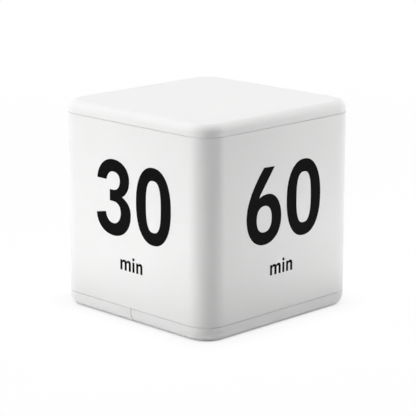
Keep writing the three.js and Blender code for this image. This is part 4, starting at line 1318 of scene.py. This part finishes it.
def addRing(curve, ring, scale, origin):
    x, y, width, height, power = ring
    spline = curve.splines.new("POLY")
    spline.points.add(number["ringPoints"] - 1)
    spline.use_cyclic_u = True
    for i, point in enumerate(spline.points):
        angle = 2 * math.pi * i / number["ringPoints"]
        across, up = math.cos(angle), math.sin(angle)
        point.co = onSheet(
            origin, scale,
            x + width / 2 * math.copysign(abs(across) ** (2 / power), across),
            y + height / 2 * math.copysign(abs(up) ** (2 / power), up),
        ).to_4d()


def newFlat(name, thick):
    curve = bpy.data.curves.new(name, "CURVE")
    curve.dimensions = "2D"
    curve.fill_mode = "BOTH"
    curve.resolution_u = number["curveSteps"]
    curve.extrude = thick / 2
    return curve


def makeNumber(side):
    name = "number_" + side["label"]
    curve = newFlat(name, number["ink"])
    widths = [number["height"] * number["widthShares"][digit] for digit in side["label"]]
    left = side["shift"] - (sum(widths) + number["gap"] * (len(widths) - 1)) / 2
    for digit, width in zip(side["label"], widths):
        scale, origin = (width, number["height"]), (left, number["middle"] - number["height"] / 2)
        if digit in digitShares:
            addOutline(curve, digitShares[digit], scale, origin)
        for ring in ringShares.get(digit, []):
            addRing(curve, ring, scale, origin)
        left += width + number["gap"]
    scale = (unit["scale"], unit["scale"])
    for letter, place in unit["letters"]:
        origin = (side["shift"] - unit["behind"] + place * unit["scale"], unit["baseline"])
        addOutline(curve, letterOutlines[letter], scale, origin)
        if letter == "i":
            addRing(curve, unit["dot"], scale, origin)
    piece = settle(link(name, curve))
    out = half - number["sink"] + number["ink"] / 2
    turn = Matrix.Rotation(side["turn"] * math.pi / 2, 4, "Z")
    piece.data.transform(turn @ Matrix.Translation((0, -out, 0)) @ Matrix.Rotation(math.pi / 2, 4, "X"))
    replaced = [f"{name}_digit_{digit}" for digit in side["label"]]
    return finish(cleaned(piece), "ink", "number_ink", *replaced)


# Materials

grain = {
    "tone": 300, "gloss": 900, "clearGloss": 500, "fine": 5000, "detail": 3, "deep": 0.003 * mm,
    "strength": 0.25,
}

# a finish's name, its dark and light tones, its glossy and dull ends, how metallic it is and what
# differs from the usual grain
finishes = {
    "whitePlastic": ("white_plastic", (0.85, 0.85, 0.845), (0.875, 0.875, 0.87), 0.27, 0.33, 0, {
        "specular": 0.4, "tone": 90, "gloss": 700, "fine": 4500, "deep": 0.004 * mm, "strength": 0.2,
    }),
    "ink": ("number_ink", (0.001, 0.001, 0.001), (0.004, 0.004, 0.004), 0.42, 0.55, 0, {
        "specular": 0.03, "tone": 900, "gloss": 1500, "fine": 6000, "deep": 0.004 * mm, "strength": 0.3,
    }),
    # dark grey marks: paint on the base, and painted shade in the door's arrow
    "markPaintAndShade": ("mark_paint", (0.09, 0.09, 0.095), (0.13, 0.13, 0.135), 0.5, 0.6),
    "figureInk": ("figure_ink", (0.012, 0.014, 0.012), (0.02, 0.022, 0.02), 0.5, 0.6),
    "blackPlastic": ("black_plastic", (0.018, 0.018, 0.019), (0.03, 0.03, 0.031), 0.42, 0.55),
    "epoxy": ("chip_epoxy", (0.012, 0.012, 0.012), (0.02, 0.02, 0.02), 0.2, 0.35),
    "capacitorSleeve": ("capacitor_sleeve", (0.015, 0.02, 0.035), (0.025, 0.03, 0.05), 0.28, 0.4),
    "displayFilm": ("display_film", (0.30, 0.34, 0.25), (0.34, 0.38, 0.29), 0.3, 0.36),
    "redLead": ("red_insulation", (0.45, 0.02, 0.02), (0.55, 0.03, 0.03), 0.4, 0.5),
    "blackLead": ("black_insulation", (0.012, 0.012, 0.012), (0.02, 0.02, 0.02), 0.4, 0.5),
    "solderMask": ("solder_mask", (0.012, 0.09, 0.035), (0.02, 0.13, 0.05), 0.28, 0.4),
    "nickel": ("nickel_plate", (0.66, 0.64, 0.59), (0.74, 0.72, 0.67), 0.22, 0.36, 1),
    "zinc": ("zinc_plate", (0.56, 0.57, 0.58), (0.66, 0.67, 0.68), 0.26, 0.42, 1),
    "springSteel": ("spring_steel", (0.52, 0.53, 0.54), (0.62, 0.63, 0.64), 0.18, 0.3, 1),
    "tin": ("tinned_copper", (0.68, 0.68, 0.67), (0.78, 0.78, 0.77), 0.3, 0.45, 1),
    "brass": ("brass_disc", (0.72, 0.52, 0.2), (0.8, 0.6, 0.28), 0.24, 0.38, 1),
}

# a clear finish's name, colour, how clear it is, its index and its glossy and dull ends
clearFinishes = {
    "clearPlastic": ("clear_plastic", (0.95, 0.97, 0.97), 1, 1.49, 0.03, 0.08),
    "displayGlass": ("display_glass", (0.75, 0.8, 0.7), 0.75, 1.5, 0.04, 0.1),
}

rubber = {
    "pitch": 0.36 * mm, "half": 0.5, "light": (0.75, 0.66, 0.62), "dark": (0.05, 0.05, 0.055),
    "glossy": 0.6, "dull": 0.72,
}
jacketFinish = {
    "wrap": (0.03, 0.13, 0.26), "ring": (0.62, 0.6, 0.55), "metallic": 0.5, "glossy": 0.22, "dull": 0.34,
    "gloss": 700, "fine": 2500, "deep": 0.003 * mm, "strength": 0.2,
}


def newMaterial(name, color, roughness, metallic=0):
    material = bpy.data.materials.new(name)
    material.use_nodes = True
    shader = material.node_tree.nodes["Principled BSDF"]
    shader.inputs["Base Color"].default_value = (*color, 1)
    shader.inputs["Roughness"].default_value = roughness
    shader.inputs["Metallic"].default_value = metallic
    return material, material.node_tree, shader


def noiseOn(tree, scale, detail=2):
    place = addNode(tree, "ShaderNodeTexCoord")
    noise = addNode(
        tree, "ShaderNodeTexNoise", {"Vector": place.outputs["Object"]}, {"Scale": scale, "Detail": detail}
    )
    return noise.outputs["Fac"]


def spread(tree, value, start, end, low=0, high=1):
    # a number that goes from low to high as the value goes from start to end
    return addNode(tree, "ShaderNodeMapRange", {"Value": value}, {
        "From Min": start, "From Max": end, "To Min": low, "To Max": high,
    }).outputs["Result"]


def maths(tree, operation, first, second):
    # second is a number or what another node gives
    node = addNode(tree, "ShaderNodeMath", {0: first}, operation=operation)
    if isinstance(second, float):
        node.inputs[1].default_value = second
    else:
        tree.links.new(second, node.inputs[1])
    return node.outputs[0]


def vary(tree, shader, value, socket, low, high):
    # a pattern from 0 to 1 sets a number or a colour between two ends
    if isinstance(low, tuple):
        mix = addNode(tree, "ShaderNodeMix", data_type="RGBA")
        mix.inputs[6].default_value = (*low, 1)
        mix.inputs[7].default_value = (*high, 1)
        tree.links.new(value, mix.inputs[0])
        result = mix.outputs[2]
    else:
        result = spread(tree, value, 0, 1, low, high)
    tree.links.new(result, shader.inputs[socket])


def bump(tree, shader, use):
    relief = addNode(
        tree, "ShaderNodeBump", {"Height": noiseOn(tree, use["fine"], use.get("detail", 2))},
        {"Distance": use["deep"], "Strength": use["strength"]},
    )
    tree.links.new(relief.outputs["Normal"], shader.inputs["Normal"])


def makeFinish(name, dark, light, glossy, dull, metallic=0, changed=()):
    # a slow drift of tone, an uneven gloss and a fine grain
    use = {**grain, **dict(changed)}
    material, tree, shader = newMaterial(name, light, dull, metallic)
    if "specular" in use:
        shader.inputs["Specular IOR Level"].default_value = use["specular"]
    vary(tree, shader, noiseOn(tree, use["tone"]), "Base Color", dark, light)
    vary(tree, shader, noiseOn(tree, use["gloss"]), "Roughness", glossy, dull)
    bump(tree, shader, use)
    return material


def makeClear(name, color, clear, index, glossy, dull):
    material, tree, shader = newMaterial(name, color, glossy)
    shader.inputs["Transmission Weight"].default_value = clear
    shader.inputs["IOR"].default_value = index
    vary(tree, shader, noiseOn(tree, grain["clearGloss"]), "Roughness", glossy, dull)
    return material


def alongY(tree, start, end):
    # 0 at start and 1 at end
    place = addNode(tree, "ShaderNodeTexCoord")
    parts = addNode(tree, "ShaderNodeSeparateXYZ", {0: place.outputs["Object"]})
    return spread(tree, parts.outputs["Y"], start, end)


def makeRubber():
    # even bands of conducting and plain rubber
    material, tree, shader = newMaterial("strip_rubber", rubber["light"], rubber["glossy"])
    part = maths(tree, "PINGPONG", alongY(tree, 0, rubber["pitch"]), rubber["half"])
    step = maths(tree, "GREATER_THAN", part, rubber["half"] / 2)
    vary(tree, shader, step, "Base Color", rubber["light"], rubber["dark"])
    vary(tree, shader, noiseOn(tree, grain["gloss"]), "Roughness", rubber["glossy"], rubber["dull"])
    return material


def makeJacket(node, way):
    # a plain wrap in two tones: the ring is at the positive end
    use = jacketFinish
    material, tree, shader = newMaterial(node + "_jacket", use["wrap"], use["dull"], use["metallic"])
    low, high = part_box(node)
    end = high.y - cell["ring"] if way > 0 else low.y + cell["ring"]
    edge = way * cell["ringEdge"]
    clamp = addNode(tree, "ShaderNodeClamp", {"Value": alongY(tree, end - edge, end + edge)})
    vary(tree, shader, clamp.outputs[0], "Base Color", use["wrap"], use["ring"])
    vary(tree, shader, noiseOn(tree, use["gloss"]), "Roughness", use["glossy"], use["dull"])
    bump(tree, shader, use)
    return material


def makeMaterials():
    made = {key: makeFinish(*values) for key, values in finishes.items()}
    made.update({key: makeClear(*values) for key, values in clearFinishes.items()})
    made["stripRubber"] = makeRubber()
    made.update({node + "Jacket": makeJacket(node, way) for node, way in cellWays.items()})
    print("materials ready")
    return made


# Floor and lamps

stage = {
    "reach": 6.0,
    "opening": 28.7 * mm,
    "openingCorner": 4.45 * mm,
    "openingSteps": 8,
    "drop": 0.02 * mm,
    "stripLift": 0.5 * mm,
    "world": 0.08,
    "floorTone": 0.8,
    "floorRough": 0.8,
    "floorLevel": 1.07,
    "contact": 0.85,
    "contactFrom": 5.4 * mm,
    "contactReach": 6.6 * mm,
    "shadow": 0.15,
    "shadowReach": 400 * mm,
}

# azimuth and elevation in degrees, as the camera's are, distance and size in metres, power in watts
lamps = {
    "leftSide": {"azimuth": -38, "elevation": 10, "distance": 1.0, "size": 0.45, "power": 5.0},
    "leftBack": {"azimuth": -120, "elevation": 10, "distance": 1.0, "size": 0.45, "power": 1.1},
    "rightSide": {"azimuth": 165, "elevation": 10, "distance": 1.0, "size": 0.45, "power": 0.8},
    "rightNear": {"azimuth": 150, "elevation": 10, "distance": 0.3, "size": 0.15, "power": 0.22},
    "overhead": {"azimuth": 45, "elevation": 89, "distance": 1.0, "size": 0.2, "power": 8.0},
    "underneath": {"azimuth": 45, "elevation": -89, "distance": 1.0, "size": 0.2, "power": 8.0},
}

# two low lights that lie on the floor and face up
strips = {
    "leftStrip": {"azimuth": -10, "width": 0.12, "near": 0.06, "far": 0.36, "power": 0.12},
    "rightStrip": {"azimuth": 112, "width": 0.12, "near": 0.06, "far": 0.36, "power": 0.12},
}


def seenShare(tree):
    # 1 for what the camera sees, straight, mirrored or through something clear
    path = addNode(tree, "ShaderNodeLightPath")
    share = path.outputs["Is Camera Ray"]
    for label in ("Is Glossy Ray", "Is Transmission Ray"):
        share = maths(tree, "MAXIMUM", share, path.outputs[label])
    return share


def vectorMaths(tree, operation, first, second=(0, 0, 0)):
    return addNode(tree, "ShaderNodeVectorMath", {0: first}, {1: second}, operation=operation).outputs


def footShares(tree):
    # how much of the shaded floor shows at each place, from the foot of the case outwards:
    # the distance is taken from a square whose corners are the middles of the foot's round corners
    place = addNode(tree, "ShaderNodeTexCoord")
    flat = half - case["corner"]
    reach = vectorMaths(tree, "ABSOLUTE", place.outputs["Object"])["Vector"]
    reach = vectorMaths(tree, "SUBTRACT", reach, (flat, flat, mm))["Vector"]
    reach = vectorMaths(tree, "MAXIMUM", reach)["Vector"]
    reach = vectorMaths(tree, "LENGTH", reach)["Value"]
    contact = spread(
        tree, reach, stage["contactFrom"], stage["contactReach"], stage["contact"], stage["shadow"]
    )
    fade = spread(tree, reach, stage["contactReach"], stage["shadowReach"], 1, 0)
    return maths(tree, "MULTIPLY", contact, fade)


def mixed(tree, share, first, second):
    # two shaders by a share
    return addNode(tree, "ShaderNodeMixShader", {
        0: share, 1: first.outputs[0], 2: second.outputs[0],
    })


def makeWorld():
    world = bpy.data.worlds.new("studio")
    world.use_nodes = True
    bpy.context.scene.world = world
    tree = world.node_tree
    tree.nodes.clear()
    light = addNode(tree, "ShaderNodeBackground", fixed={"Strength": stage["world"]})
    seen = addNode(tree, "ShaderNodeBackground", fixed={"Strength": 1})
    addNode(tree, "ShaderNodeOutputWorld", {0: mixed(tree, seenShare(tree), light, seen).outputs[0]})


def makeFloor():
    # the floor has an opening under the base, for the lamp that lights the underside
    rim = []
    flat = stage["opening"] - stage["openingCorner"]
    for quarter in range(4):
        middle = math.radians(45 + 90 * quarter)
        for i in range(stage["openingSteps"] + 1):
            turn = math.radians(90 * (quarter + i / stage["openingSteps"]))
            rim.append((
                math.copysign(flat, math.cos(middle)) + stage["openingCorner"] * math.cos(turn),
                math.copysign(flat, math.sin(middle)) + stage["openingCorner"] * math.sin(turn),
            ))
    grow = stage["reach"] / stage["opening"]
    corners = [(x * scale, y * scale, -stage["drop"]) for scale in (grow, 1) for x, y in rim]
    count = len(rim)
    faces = [(i, (i + 1) % count, (i + 1) % count + count, i + count) for i in range(count)]
    mesh = bpy.data.meshes.new("floor")
    mesh.from_pydata(corners, [], faces)
    floor = link("floor", mesh)
    material, tree, shader = newMaterial("floor", (stage["floorTone"],) * 3, stage["floorRough"])
    glow = addNode(tree, "ShaderNodeEmission")
    shaded = addNode(tree, "ShaderNodeBsdfDiffuse", fixed={"Color": (1 / stage["floorLevel"],) * 3 + (1,)})
    above = mixed(tree, footShares(tree), glow, shaded)
    clear = addNode(tree, "ShaderNodeBsdfTransparent")
    fromBelow = addNode(tree, "ShaderNodeNewGeometry").outputs["Backfacing"]
    seen = mixed(tree, fromBelow, above, clear)
    shown = mixed(tree, seenShare(tree), shader, seen)
    tree.links.new(shown.outputs[0], tree.nodes["Material Output"].inputs[0])
    mesh.materials.append(material)


def newLight(name, width, length, power):
    data = bpy.data.lights.new(name, "AREA")
    data.shape = "RECTANGLE"
    data.size = width
    data.size_y = length
    data.energy = power
    return data


def makeLamps():
    for name, lamp in lamps.items():
        data = newLight(name, lamp["size"], lamp["size"], lamp["power"])
        back = away(lamp["azimuth"], lamp["elevation"])
        holder = stand(name, data, Vector((0, 0, half)) + back * lamp["distance"], back)
        holder.visible_glossy = False
    for name, strip in strips.items():
        holder = link(name, newLight(name, strip["width"], strip["far"] - strip["near"], strip["power"]))
        holder.location = away(strip["azimuth"], 0) * (strip["near"] + strip["far"]) / 2
        holder.location.z = stage["stripLift"]
        holder.rotation_euler = (math.pi, 0, math.radians(strip["azimuth"]))
        holder.visible_camera = False


def makeStage():
    bpy.context.scene.view_settings.view_transform = "Standard"
    makeWorld()
    makeFloor()
    makeLamps()
    print("stage ready")


makeCamera()
materials = makeMaterials()
blockTree = makeBlockTree()
repeatTree = makeRepeatTree()
makeStage()
makeSleeve()
makeTopPanel()
makeBase()
makeDoor()
print("case ready")

for side in numberedSides:
    makeNumber(side)
print("numbers ready")
makeDisplay()
for name in ("power", "volume"):
    makeSwitch(name)
makeScrews()
makePower()
makeBuzzer()
for label in tiltTurns:
    makeTilt(label)
makeElectronics()
makeLeads()
print("works ready")
